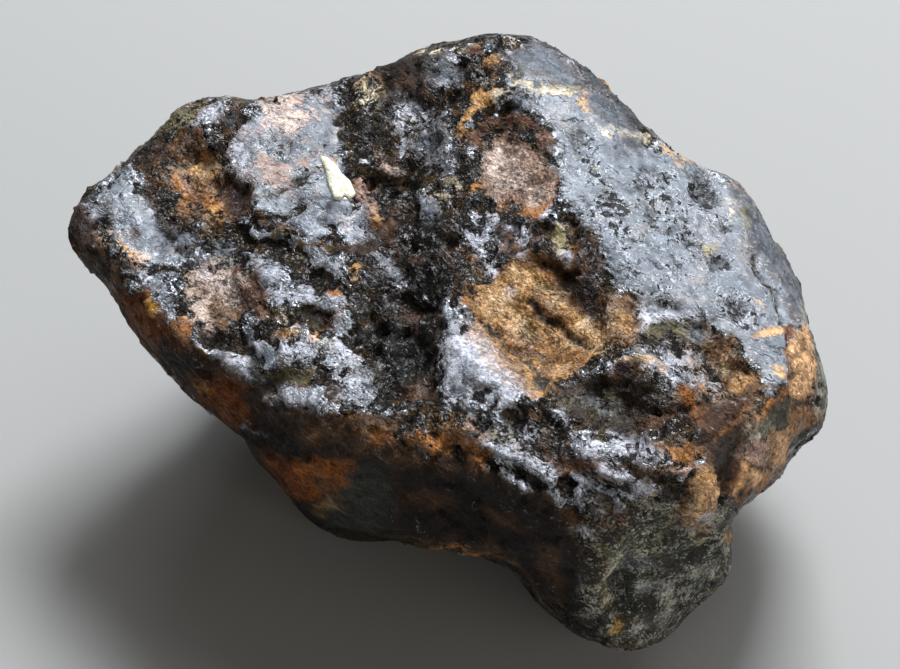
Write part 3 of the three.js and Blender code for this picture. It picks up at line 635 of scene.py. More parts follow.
    ("umber", 0.6, area((600, 500), (640, 505), (630, 535), (600, 545), (575, 530))),
    ("rust brown", 0.5, spot(614, 518, 18, 10, -15)),
    ("pale grey", 0.5, streak(2, (580, 502), (594, 508), (604, 514))),
    ("pale grey", 0.45, spot(587, 534, 9, 6, 30)),
]

# Ground that the crust covers smoothly, with a blue-grey sheen painted into its colour: share and shape.
# Several of these strokes paint lit patches and lit ribs.
POLISH_AND_SHEEN = [
    (-0.05, VALLEY),
    (-0.2, spot(402, 76, 30, 26)),
    (0.85, LEFT_PLATE),
    (0.8, spot(165, 248, 45, 14, 15)),
    (0.8, spot(216, 113, 18, 10, 130)),
    (0.9, CROWN),
    (0.7, area((335, 206), (350, 202), (376, 213), (382, 238), (352, 242), (340, 228))),
    (0.7, area((246, 258), (275, 256), (292, 278), (320, 288), (352, 294), (352, 308), (300, 306),
               (258, 292))),
    (0.7, area((298, 248), (325, 246), (348, 262), (348, 278), (318, 278), (302, 264))),
    (0.8, area((255, 200), (290, 200), (336, 212), (332, 240), (305, 238), (280, 220))),
    (0.7, streak(6, (252, 226), (270, 236), (292, 244))),
    (0.65, streak(6, (378, 258), (390, 268), (402, 280))),
    (0.7, spot(396, 304, 9, 6, 40)),
    (0.5, area((416, 294), (440, 290), (460, 304), (444, 314), (424, 310))),
    (0.7, spot(336, 322, 18, 12)),
    (0.9, streak(7, (246, 338), (258, 350), (272, 362))),
    (0.4, spot(428, 212, 15, 17)),
    (0.75, area((138, 268), (152, 268), (176, 300), (178, 325), (166, 318), (146, 290))),
    # Painted sheen on the narrow bright ridge of the brow.
    (0.75, area((195, 343), (225, 350), (264, 384), (240, 380), (205, 366))),
    (0.65, area((265, 342), (300, 340), (330, 342), (345, 362), (318, 368), (270, 366))),
    (0.7, area((332, 336), (352, 334), (362, 358), (388, 392), (388, 415), (345, 404), (328, 370))),
    (0.8, spot(290, 398, 24, 7, 20)),
    (0.8, spot(316, 398, 13, 11)),
    (0.7, spot(440, 72, 22, 18)),
    (0.55, SLAB),
    (0.5, spot(430, 206, 16, 8)),
    (0.95, PLATEAU),
    (0.6, spot(490, 232, 26, 10, 45)),
    (0.6, spot(484, 256, 20, 8, 60)),
    (0.84, area((440, 306), (462, 314), (492, 352), (520, 388), (512, 402), (480, 396), (450, 408),
                (443, 380))),
    (0.7, spot(500, 412, 22, 10, 25)),
    (0.7, area((600, 345), (650, 350), (700, 352), (722, 398), (700, 392), (662, 378), (610, 362))),
    (0.7, spot(668, 308, 22, 7, 25)),
    (0.42, area((476, 438), (520, 446), (556, 462), (600, 460), (658, 486), (628, 508), (565, 506),
                (505, 476), edge=6)),
    (0.36, area((552, 410), (575, 420), (610, 432), (655, 440), (668, 462), (600, 462), (566, 448), edge=6)),
    # Painted sheen along the same flow ribs.
    (0.3, streak(4, *BROW_RIB)),
    (0.3, streak(3, *LOW_BROW_RIB)),
    (0.3, streak(4, *STEEP_RIB)),
    (0.3, streak(3, *MIDDLE_RIB)),
    (0.3, spot(630, 444, 18, 9, 10)),
    (0.3, streak(4, *LONG_RIB)),
    (0.3, streak(5, *LOWEST_RIB)),
    (0.3, spot(660, 455, 12, 8, 60)),
    (0.5, spot(520, 245, 10, 5, 60)),
    (0.6, spot(708, 518, 10, 5)),
]

# Stains of the other sides: finish, cover, size of the patches in millimetres, how rare they are, and a seed.
OTHER_STAINS = [
    ("umber", 0.75, 14.0, -0.05, 3.0),
    ("rust brown", 0.60, 9.0, 0.12, 11.0),
    ("orange rust", 0.75, 6.0, 0.24, 19.0),
    ("dark green", 0.75, 11.0, 0.20, 27.0),
    ("pale pink", 0.60, 7.0, 0.32, 35.0),
    ("ochre", 0.85, 10.0, 0.34, 43.0),
    ("oily black", 0.70, 8.0, 0.18, 51.0),
]
# Smooth, pitted and grainy ground there, the smooth ground with a painted sheen: share, size, how rare, and a
# seed.
OTHER_POLISH_AND_SHEEN = (0.80, 9.0, 0.10, 60.0)
OTHER_PITTED = (0.90, 6.0, 0.00, 70.0)
OTHER_GRAINY = (0.80, 12.0, 0.10, 80.0)

# Ground with small pits, painted black as the shade in them, between pale crackled rims: share and shape.
PITTED = [
    (0.8, streak(9, (584, 138), (580, 158), (592, 170), (604, 190), (618, 204))),
    (0.9, area((600, 202), (622, 200), (640, 222), (644, 244), (624, 246), (600, 230))),
    (0.6, spot(592, 212, 8, 8)),
    (0.8, area((636, 176), (662, 172), (672, 196), (690, 206), (694, 236), (668, 240), (648, 230),
               (640, 200))),
    (1.0, area((684, 176), (702, 172), (716, 186), (714, 208), (700, 212), (690, 200))),
    (0.7, streak(5, (668, 176), (682, 168), (698, 170))),
    (0.7, streak(7, (664, 246), (688, 240), (702, 256), (728, 268))),
    (0.7, streak(7, (624, 256), (640, 276), (660, 300), (684, 322))),
    (0.6, area((656, 258), (684, 254), (690, 276), (674, 292), (660, 286))),
    (0.7, streak(7, (690, 298), (704, 318), (716, 334))),
    (0.9, area((716, 288), (738, 286), (758, 306), (760, 334), (740, 336), (724, 312))),
    (0.7, streak(5, (750, 250), (768, 286), (782, 324))),
    (0.6, area((706, 210), (730, 208), (738, 234), (724, 244), (708, 230))),
    (0.5, area((508, 84), (530, 86), (548, 112), (560, 150), (574, 200), (556, 190), (540, 150), (524, 110))),
    (0.5, area((700, 340), (740, 348), (770, 392), (740, 398), (716, 372))),
    (0.6, area((256, 128), (300, 122), (330, 160), (334, 200), (296, 198), (262, 190))),
    (0.6, area((104, 196), (126, 184), (140, 222), (130, 244), (110, 232))),
    (0.6, area((262, 280), (300, 290), (352, 296), (352, 308), (296, 310), (262, 296))),
    (0.6, area((266, 342), (340, 336), (388, 392), (386, 416), (330, 396), (272, 366))),
    (0.4, area((440, 300), (464, 314), (494, 352), (522, 388), (480, 398), (448, 408), (442, 360))),
    (0.7, area((600, 345), (700, 352), (722, 398), (662, 378))),
    (0.7, area((490, 440), (560, 480), (640, 470), (654, 494), (600, 502), (560, 500), (500, 462))),
]

# Ground with pale grains in it: share and shape.
GRAINY = [
    (1.0, FOOT),
    (0.5, SLAB),
    (0.6, spot(222, 290, 32, 26)),
    (0.5, OCHRE_BED),
    (0.5, spot(720, 370, 26, 26)),
    (0.6, area((590, 505), (640, 505), (640, 545), (590, 560), (570, 530))),
    (0.5, spot(622, 324, 22, 22)),
    (0.3, spot(590, 410, 34, 26)),
    (0.4, spot(200, 180, 34, 34)),
    (0.6, spot(517, 176, 30, 30)),
]

# How broken the ground is, against 1 on the rest: strength and shape.
ROUGHNESS = [
    (-0.55, PLATEAU),
    (-0.4, LEFT_PLATE),
    (-0.4, CROWN),
    (0.5, VALLEY),
    (0.5, RIB_GROUND),
    (-0.6, OCHRE_BED),
    (-0.35, area((320, 450), (560, 510), (735, 505), (735, 560), (630, 650), (560, 600), (500, 550),
                 (320, 530))),
    (-0.5, area((792, 335), (806, 330), (827, 400), (800, 425), (755, 498), (738, 500), (750, 435))),
]

# Small hollows: depth in millimetres, and shape. A raised place has a negative depth.
DENTS = [
    (0.35, dimple(199, 165, 15, 13)),
    (0.5, dimple(236, 197, 17, 13, 90)),
    (0.3, groove(4, (148, 180), (158, 206), (168, 224), (178, 246))),
    (0.25, groove(4, *CROWN_CRACK)),
    (0.3, dimple(231, 120, 15, 7, 130)),
    (0.4, dimple(309, 319, 12, 6, 15)),
    (0.35, groove(5, (205, 338), (235, 344), (250, 352), (262, 378))),
    (-0.3, groove(6, (200, 350), (228, 362), (258, 382))),
    (0.15, groove(4, (270, 206), (300, 222), (332, 246))),
    (0.15, groove(4, (258, 224), (290, 240), (310, 256))),
    (0.3, groove(4, (510, 72), (526, 78))),
    (0.25, groove(6, (534, 84), (552, 90), (572, 94))),
    (0.3, dimple(582, 104, 12, 5, 90)),
    (0.3, dimple(580, 145, 18, 8, 110)),
    (0.35, groove(4, (586, 172), (597, 183), (608, 190), (616, 199))),
    (0.3, dimple(605, 196, 8, 5)),
    (0.32, dimple(617, 209, 9, 5, 40)),
    (0.3, dimple(607, 223, 6, 5)),
    (0.25, dimple(592, 212, 7, 4, 90)),
    (0.3, dimple(643, 190, 10, 4, 70)),
    (0.3, dimple(627, 233, 11, 5, 40)),
    (0.3, dimple(657, 211, 10, 4, -15)),
    (0.3, dimple(656, 225, 5, 5)),
    (0.3, dimple(673, 227, 14, 6, -25)),
    (0.25, dimple(686, 213, 6, 5)),
    (0.3, dimple(694, 194, 8, 5, 70)),
    (0.5, dimple(706, 190, 15, 6, 80)),
    (0.35, dimple(692, 243, 13, 4, 48)),
    (0.35, dimple(718, 264, 14, 5, 10)),
    (0.28, dimple(724, 228, 9, 6, 30)),
    (0.3, dimple(660, 268, 9, 4, 40)),
    (0.25, dimple(679, 262, 7, 4, 60)),
    (0.35, dimple(669, 285, 7, 6)),
    (0.3, groove(4, (626, 258), (636, 276), (655, 292))),
    (0.35, groove(5, (652, 302), (668, 308), (680, 318))),
    (0.3, groove(4, (690, 296), (706, 308), (722, 322))),
    (0.35, dimple(740, 312, 14, 5, 60)),
    (0.35, groove(4, (752, 250), (762, 270), (774, 292), (782, 322))),
    (0.25, groove(4, (572, 62), (582, 70))),
    (-0.5, groove(13, (512, 300), (540, 312), (572, 330))),
    (0.25, streak(3.2, *BED_CRACK, soft=0.8)),
    (0.3, streak(3.4, *LOWER_BED_CRACK, soft=0.8)),
    (-0.14, groove(8, (505, 318), (530, 340), (560, 362))),
    (-0.1, groove(6, (550, 300), (570, 318), (586, 334))),
    (-0.15, groove(5, (476, 334), (496, 356), (520, 378))),
    (0.35, groove(4, (470, 215), (500, 240), (515, 262))),
    (0.35, groove(4, (500, 212), (520, 232), (535, 256))),
    (0.35, groove(4, (545, 222), (562, 244), (575, 262))),
    (-0.3, groove(5, (485, 224), (502, 246), (508, 262))),
    (-0.3, groove(5, (518, 222), (530, 242), (540, 256))),
    (0.3, dimple(604, 396, 18, 12)),
    (0.35, groove(4, (655, 352), (680, 366), (700, 372))),
    (0.3, groove(4, (588, 400), (602, 414))),
    (-0.16, groove(4, *STEEP_RIB)),
    (0.2, groove(5, (592, 418), (610, 432), (640, 448))),
    (-0.16, groove(4, *LONG_RIB)),
    (-0.14, groove(4, *LOWEST_RIB)),
    (0.18, groove(4, (560, 462), (590, 478), (620, 490))),
    (-0.18, groove(4, *BROW_RIB)),
    (0.2, groove(4, (492, 458), (520, 472), (540, 492))),
    (0.35, groove(4, (788, 345), (794, 362), (796, 378), (790, 398))),
    (0.3, groove(4, (768, 434), (770, 450), (772, 468))),
    (0.3, groove(4, (798, 406), (812, 404), (822, 408))),
    (0.35, groove(4, (745, 452), (742, 475), (736, 497))),
    (0.4, groove(4, (690, 476), (682, 494), (673, 508), (680, 526), (694, 535))),
    (-0.5, dimple(699, 500, 18, 14, -60)),
    (-0.35, groove(5, (618, 548), (600, 575), (594, 600), (604, 625))),
    (0.3, groove(5, (630, 560), (618, 590), (620, 620))),
]

# A pale flake stuck on the left mass: its edge, and its sizes in millimetres.
FLAKE = [(320, 158), (327, 160), (336, 165), (343, 173), (350, 184), (355, 195), (350, 200), (345, 196),
         (340, 201), (333, 199), (329, 189), (327, 178), (324, 168)]
FLAKE_RISE = 0.55
FLAKE_SINK = 0.5
FLAKE_EDGE = 0.4  # how high its edge stands, against its middle
FLAKE_CLING = 0.35  # how closely it follows the ground, against lying flat
FLAKE_STEPS = 7  # rings of faces from its edge to its middle
FLAKE_TIP = 0.02  # size of the last ring, against the edge


# ---- Node trees -------------------------------------------------------------------------------------------
class Value:
    """A socket of a node tree. Plain arithmetic on it adds Math nodes."""

    def __init__(self, net, socket):
        self.net = net
        self.socket = socket

    def __add__(self, other):
        return self.net.math("ADD", self, other)

    def __sub__(self, other):
        return self.net.math("SUBTRACT", self, other)

    def __rsub__(self, other):
        return self.net.math("SUBTRACT", other, self)

    def __mul__(self, other):
        return self.net.math("MULTIPLY", self, other)

    def __truediv__(self, other):
        return self.net.math("DIVIDE", self, other)

    def __rtruediv__(self, other):
        return self.net.math("DIVIDE", other, self)

    __radd__ = __add__
    __rmul__ = __mul__

    def beside(self, name):
        """Another output of the same node."""
        return Value(self.net, self.socket.node.outputs[name])


class Net:
    """A node tree under construction."""

    def __init__(self, tree):
        self.tree = tree

    def node(self, kind, settings=None, inputs=None, output=0):
        """Adds one node: its settings first, then the values or links of its sockets. Gives one output."""
        made = self.tree.nodes.new(kind)
        for name, value in (settings or {}).items():
            setattr(made, name, value)
        self.feed(made, inputs or {})
        return Value(self, made.outputs[output])

    def feed(self, made, inputs):
        """Sets or links sockets of a node."""
        for key, value in inputs.items():
            if isinstance(value, Value):
                self.tree.links.new(value.socket, made.inputs[key])
            else:
                made.inputs[key].default_value = value

    def math(self, operation, *values):
        return self.node("ShaderNodeMath", {"operation": operation}, dict(enumerate(values)))

    def vector(self, operation, *values, output=0):
        return self.node("ShaderNodeVectorMath", {"operation": operation}, dict(enumerate(values)), output)

    def scaled(self, vector, factor):
        return self.node("ShaderNodeVectorMath", {"operation": "SCALE"}, {0: vector, "Scale": factor})

    def mix(self, share, first, second, blend="MIX"):
        """Blends two colours."""
        settings = {"data_type": "RGBA", "blend_type": blend, "clamp_factor": True}
        first, second = (c if isinstance(c, Value) else (*c, 1.0) for c in (first, second))
        return self.node("ShaderNodeMix", settings, {0: share, 6: first, 7: second}, 2)

    def step(self, value, low, high):
        """0 below low, 1 above high, and a smooth rise between them."""
        settings = {"interpolation_type": "SMOOTHSTEP"}
        return self.node("ShaderNodeMapRange", settings, {0: value, 1: low, 2: high})

    def seam(self, cloud, low, high):
        """A thin line where noise crosses its middle: 1 up to low away from it, 0 from high on."""
        return 1 - self.step(self.math("ABSOLUTE", cloud - 0.5), low, high)

    def noise(self, place, size, seed, detail=2.0, rough=0.5, twist=0.0):
        """Noise whose coarsest features are about size millimetres apart. It runs from 0 to 1."""
        moved = self.vector("ADD", place, tuple(seed * shift for shift in SEED_SHIFT))
        inputs = {"Vector": moved, "Scale": 1.0 / size}
        inputs |= {"Detail": detail, "Roughness": rough, "Distortion": twist}
        return self.node("ShaderNodeTexNoise", None, inputs)

    def shaken(self, place, size, amount, seed):
        """Places moved about by noise."""
        cloud = self.noise(place, size, seed).beside("Color")
        start = self.vector("SUBTRACT", place, (amount / 2,) * 3)
        return self.vector("MULTIPLY_ADD", cloud, (amount,) * 3, start)

    def chips(self, place, size):
        """Ground broken into flat chips: their slopes as a height, and a lot drawn for each."""
        cells = {"Vector": place, "Scale": 1.0 / size, "Randomness": 1.0}
        lots = self.node("ShaderNodeTexVoronoi", None, cells, output="Color")
        away = self.vector("SUBTRACT", place, lots.beside("Position"))
        tilt = self.vector("SUBTRACT", lots, (0.5, 0.5, 0.5))
        slope = self.vector("DOT_PRODUCT", away, tilt, output="Value")
        return slope, self.vector("DOT_PRODUCT", lots, (0.6, 0.4, 0.0), output="Value")

    def drawn_out(self, place, stretch):
        """Places squeezed along the way the crust flowed, so that what is laid on them runs that way."""
        along = self.vector("DOT_PRODUCT", place, FLOW_WAY, output="Value")
        parts = {axis: along * (part * stretch) for axis, part in enumerate(FLOW_WAY)}
        return self.vector("SUBTRACT", place, self.node("ShaderNodeCombineXYZ", None, parts))


def new_finish(name):
    """A material, its node tree under construction, and its shader."""
    finish = bpy.data.materials.new(name)
    finish.use_nodes = True
    return finish, Net(finish.node_tree), finish.node_tree.nodes["Principled BSDF"]


def stone_place(net):
    """Places on the stone, in millimetres."""
    return net.scaled(net.node("ShaderNodeTexCoord", output="Object"), 1 / MM)


# ---- Camera, floor and light ------------------------------------------------------------------------------
# Lamps: name, the way to it, its distance and size in millimetres, its power in watts, and its tint.
LAMPS = [
    ("window behind", (0.26, 0.50, 0.84), 620, (780, 440), 2.6, (0.90, 0.95, 1.0)),
    ("lamp behind", (0.16, 0.50, 0.86), 620, (240, 170), 5.6, (0.95, 0.97, 1.0)),
    ("fill at the right", (0.78, -0.60, 0.26), 700, (420, 420), 1.6, (1.0, 0.94, 0.86)),
    ("fill in front", (-0.35, -0.75, 0.55), 800, (500, 500), 0.5, (1.0, 0.95, 0.88)),
]
SKY_TINT = (0.88, 0.86, 0.83, 1.0)
SKY_STRENGTH = 0.06
FLOOR_HALF = 1.6  # metres
FLOOR_COLOUR = (0.34, 0.34, 0.335, 1.0)
FLOOR_ROUGHNESS = 0.8


def look_from(thing, way, distance):
    """Puts a camera or light at that distance from the middle of the stone, facing it."""
    away = Vector(way).normalized()
    thing.location = (Vector(MIDDLE) + away * distance) * MM
    thing.rotation_mode = "QUATERNION"
    thing.rotation_quaternion = (-away).to_track_quat("-Z", "Y")


def new_object(name, data):
    made = bpy.data.objects.new(name, data)
    bpy.context.scene.collection.objects.link(made)
    return made


def make_camera():
    data = bpy.data.cameras.new("camera")
    data.sensor_width = 36
    data.lens = data.sensor_width * SIGHT_DISTANCE * MARKS_PER_MM / VIEW_WIDTH
    data.clip_start = 0.01
    camera = new_object("camera", data)
    look_from(camera, TOWARDS, SIGHT_DISTANCE)
    bpy.context.scene.camera = camera


def make_lamp(name, way, distance, size, power, tint):
    data = bpy.data.lights.new(name, "AREA")
    data.shape = "RECTANGLE"
    data.size, data.size_y = (side * MM for side in size)
    data.energy = power
    data.color = tint
    look_from(new_object(name, data), way, distance)


def make_sky():
    world = bpy.data.worlds.new("studio")
    world.use_nodes = True
    background = world.node_tree.nodes["Background"]
    background.inputs["Color"].default_value = SKY_TINT
    background.inputs["Strength"].default_value = SKY_STRENGTH
    bpy.context.scene.world = world
    bpy.context.scene.view_settings.view_transform = "Standard"


def make_floor():
    corners = [(x * FLOOR_HALF, y * FLOOR_HALF, 0) for x, y in ((-1, -1), (1, -1), (1, 1), (-1, 1))]
    mesh = bpy.data.meshes.new("floor")
    mesh.from_pydata(corners, [], [(0, 1, 2, 3)])
    floor = new_object("floor", mesh)
    finish, net, shader = new_finish("pale floor")
    net.feed(shader, {"Base Color": FLOOR_COLOUR, "Roughness": FLOOR_ROUGHNESS})
    mesh.materials.append(finish)


# ---- The even mesh of the stone ---------------------------------------------------------------------------
def with_modifiers(mesh, add):
    """A mesh after the modifiers that add puts on an object of it."""
    holder = new_object("holder", mesh)
    add(holder.modifiers)
    graph = bpy.context.evaluated_depsgraph_get()
    made = bpy.data.meshes.new_from_object(holder.evaluated_get(graph))
    bpy.data.objects.remove(holder)
    return made


def soften_and_even(modifiers):
    rounding = modifiers.new("rounding", "SUBSURF")
    rounding.levels = rounding.render_levels = ROUNDING_LEVELS
    even = modifiers.new("even", "REMESH")
    even.mode = "VOXEL"
    even.voxel_size = MESH_SPACING * MM


def rework(mesh, change):
    """Lets change work on the points and faces of a mesh."""
    work = bmesh.new()
    work.from_mesh(mesh)
    change(work)
    work.to_mesh(mesh)
    work.free()


def points_of(mesh):
    """The points of a mesh, in millimetres."""
    flat = np.empty(len(mesh.vertices) * 3)
    mesh.vertices.foreach_get("co", flat)
    return flat.reshape(-1, 3) / MM


def normals_of(mesh):
    flat = np.empty(len(mesh.vertices) * 3)
    mesh.vertex_normals.foreach_get("vector", flat)
    return flat.reshape(-1, 3)


def move_points(mesh, points):
    mesh.vertices.foreach_set("co", (points * MM).ravel())
    mesh.update()


def store(mesh, name, values, kind="FLOAT", key="value"):
    """Keeps values, one for each point, under a name that materials and node trees read."""
    made = mesh.attributes.new(name, kind, "POINT")
    made.data.foreach_set(key, np.ascontiguousarray(values, np.float32).ravel())


class Neighbours:
    """Averages over the points joined to each point by an edge."""

    def __init__(self, mesh):
        flat = np.empty(len(mesh.edges) * 2, dtype=np.int64)
        mesh.edges.foreach_get("vertices", flat)
        a, b = flat.reshape(-1, 2).T
        self.ends = np.concatenate([a, b])
        self.others = np.concatenate([b, a])
        self.size = len(mesh.vertices)
        self.count = np.maximum(np.bincount(self.ends, minlength=self.size), 1)

    def mean(self, values):
        columns = values.reshape(self.size, -1).T
        sums = [np.bincount(self.ends, c[self.others], self.size) / self.count for c in columns]
        return np.stack(sums, axis=1).reshape(values.shape)

    def eased(self, values, rounds):
        """Values drawn towards those around them, so many times."""
        for _ in range(rounds):
            values = values + EVENING_PULL * (self.mean(values) - values)
        return values


def make_body():
    """The stone's own mesh, rounded and evened, and its neighbours."""
    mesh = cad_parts["stone"].data.copy()
    mesh.materials.clear()
    rework(mesh, lambda work: bmesh.ops.remove_doubles(work, verts=work.verts, dist=JOIN_WITHIN * MM))
    body = with_modifiers(mesh, soften_and_even)
    near = Neighbours(body)
    move_points(body, near.eased(points_of(body), EVENING_ROUNDS))
    return body, near


# ---- What lies on the show side ---------------------------------------------------------------------------
def marks_of(points):
    """Where points appear on the view."""
    offsets = points - MIDDLE
    zoom = SIGHT_DISTANCE / (SIGHT_DISTANCE - offsets @ TOWARDS)
    right = (offsets @ RIGHT) * zoom * MARKS_PER_MM + VIEW_WIDTH / 2
    down = VIEW_HEIGHT / 2 - (offsets @ UP) * zoom * MARKS_PER_MM
    return np.stack([right, down], axis=1)


def strayed(points):
    """Marks of points after their places on the view are shaken a little."""
    noise.seed_set(WANDER_SEED)
    view = marks_of(points)
    shakes = np.array([noise.noise_vector(Vector(p / WANDER_SIZE)) for p in points])
    finer = np.array([noise.noise_vector(Vector(p / WANDER_SIZE * WANDER_FINER)) for p in points])
    return view + WANDER * (WANDER_COARSE * shakes + WANDER_FINE * finer)[:, :2]


def facing(points, normals):
    """How squarely the surface faces the eye: 1 where it looks at it, 0 at the outline, less behind it."""
    ways = MIDDLE + SIGHT_DISTANCE * TOWARDS - points
    ways /= np.linalg.norm(ways, axis=1, keepdims=True)
    return (ways * normals).sum(axis=1)


def patches(points, size, rare, seed):
    """Patches scattered over the stone: 1 in them, 0 between them."""
    height = np.array([noise.noise(Vector(p / size + seed)) for p in points])
    return smooth(rare, rare + PATCH_EDGE, height)


def lay_stains_and_painted_light(mesh, points, view, show):
    """Keeps the colour, roughness and cover of the stains and of the painted shadows and highlights among
    them, laid one over another.
    """
    ground, ground_rough = FINISHES["rust brown"]
    tint = np.tile([*ground, ground_rough], (len(view), 1))
    cover = np.zeros(len(view))
    layers = [(name, strength, patches(points, *rest) * (1 - show)) for name, strength, *rest in OTHER_STAINS]
    layers += [(name, strength, shape(view) * show) for name, strength, shape in SHOW_STAINS_AND_PAINTED_LIGHT]
    for name, strength, share in layers:
        paint, rough = FINISHES[name]
        weight = share * strength / np.maximum(cover, strength)
        tint += weight[:, None] * (np.array([*paint, rough]) - tint)
        cover += share * np.maximum(strength - cover, 0)
    store(mesh, "tint", tint, "FLOAT_COLOR", "color")
    store(mesh, "stain", cover)


def lay_all(shapes, view, show, start=0.0):
    """The shapes of the show side added up, each by its strength."""
    total = np.full(len(view), start)
    for strength, shape in shapes:
        total += strength * shape(view) * show
    return total


def store_ground(mesh, name, shapes, other, points, view, show):
    """Keeps a share of ground that the show side has in shapes and the other sides in patches."""
    strength, *rest = other
    ground = lay_all(shapes, view, show) + strength * patches(points, *rest) * (1 - show)
    store(mesh, name, np.clip(ground, *GROUND_RANGE))


# ---- The broken grain -------------------------------------------------------------------------------------
def grain_tree(finish):
    """Raises lumps, ripples, chips and crumbs on a mesh, as far as its attribute broken says."""
    tree = bpy.data.node_groups.new("crust grain", "GeometryNodeTree")
    tree.interface.new_socket("Geometry", in_out="INPUT", socket_type="NodeSocketGeometry")
    for name, value in GRAIN.items():
        socket = tree.interface.new_socket(name, in_out="INPUT", socket_type="NodeSocketFloat")
        socket.default_value = value
    tree.interface.new_socket("Geometry", in_out="OUTPUT", socket_type="NodeSocketGeometry")
    net = Net(tree)
    given = tree.nodes.new("NodeGroupInput")
    size = {name: Value(net, given.outputs[name]) for name in GRAIN}
    position = net.scaled(net.node("GeometryNodeInputPosition"), 1 / MM)
    flowed = net.drawn_out(position, FLOW_STRETCH)
    broken = net.node("GeometryNodeInputNamedAttribute", {"data_type": "FLOAT"}, {"Name": "broken"})

    def waves(name, detail, seed_step):
        """Noise as high as its named height, above and below the surface."""
        inputs = {"Vector": flowed, "W": size["Seed"] + seed_step, "Scale": 1.0 / size[name + " size"]}
        inputs |= {"Detail": detail, "Roughness": 0.5}
        cloud = net.node("ShaderNodeTexNoise", {"noise_dimensions": "4D"}, inputs)
        return (cloud - 0.5) * size[name + " height"] * 2

    bent = net.shaken(position, size=1.6, amount=1.5, seed=8.0)
    chips, chip_lot = net.chips(bent, size["Chip size"])
    crumbs, _ = net.chips(bent, size["Crumb size"])
    lumps = waves("Lump", detail=2.0, seed_step=0.0)
    ripples = waves("Ripple", detail=3.0, seed_step=1.3)
    steps = (chip_lot - 0.5) * size["Chip size"] * size["Chip slope"] * STEP_SHARE
    rise = lumps + ripples + chips * size["Chip slope"] + steps + crumbs * size["Crumb slope"]
    offset = net.scaled(net.node("GeometryNodeInputNormal"), rise * broken * MM)
    geometry = Value(net, given.outputs["Geometry"])
    moved = net.node("GeometryNodeSetPosition", None, {"Geometry": geometry, "Offset": offset})
    real = net.node("GeometryNodeRealizeInstances", None, {"Geometry": moved})
    painted = net.node("GeometryNodeSetMaterial", None, {"Geometry": real, "Material": finish})
    net.feed(tree.nodes.new("NodeGroupOutput"), {"Geometry": painted})
    return tree


def with_grain(mesh, finish):
    tree = grain_tree(finish)

    def add(modifiers):
        modifiers.new("grain", "NODES").node_group = tree

    return with_modifiers(mesh, add)


# ---- The finish of the crust ------------------------------------------------------------------------------
# Linear colours of the crust, of what lies in it, and of the near-black that is soil between pale grains and
# painted shade in pits, cracks and hollows.
BLACK = (0.012, 0.010, 0.009)
BROWN = (0.070, 0.042, 0.018)
# Greys of the smooth crust: partly its own colour, partly a painted sheen.
DULL_GREY = (0.115, 0.127, 0.143)
BLUE_GREY = (0.440, 0.470, 0.528)
SLATE_GREY = (0.226, 0.254, 0.298)
WARM_GREY = (0.420, 0.380, 0.345)
FLECK_GREY = (0.340, 0.330, 0.310)
CHALK = (0.620, 0.660, 0.720)
PALE_GRAIN = (0.680, 0.660, 0.560)
SOIL_AND_SHADE = (0.016, 0.013, 0.011)
WORN_SHADE = (0.060, 0.035, 0.022)  # what darkens a stain where it is worn
CRUST_SPECULAR = 0.34


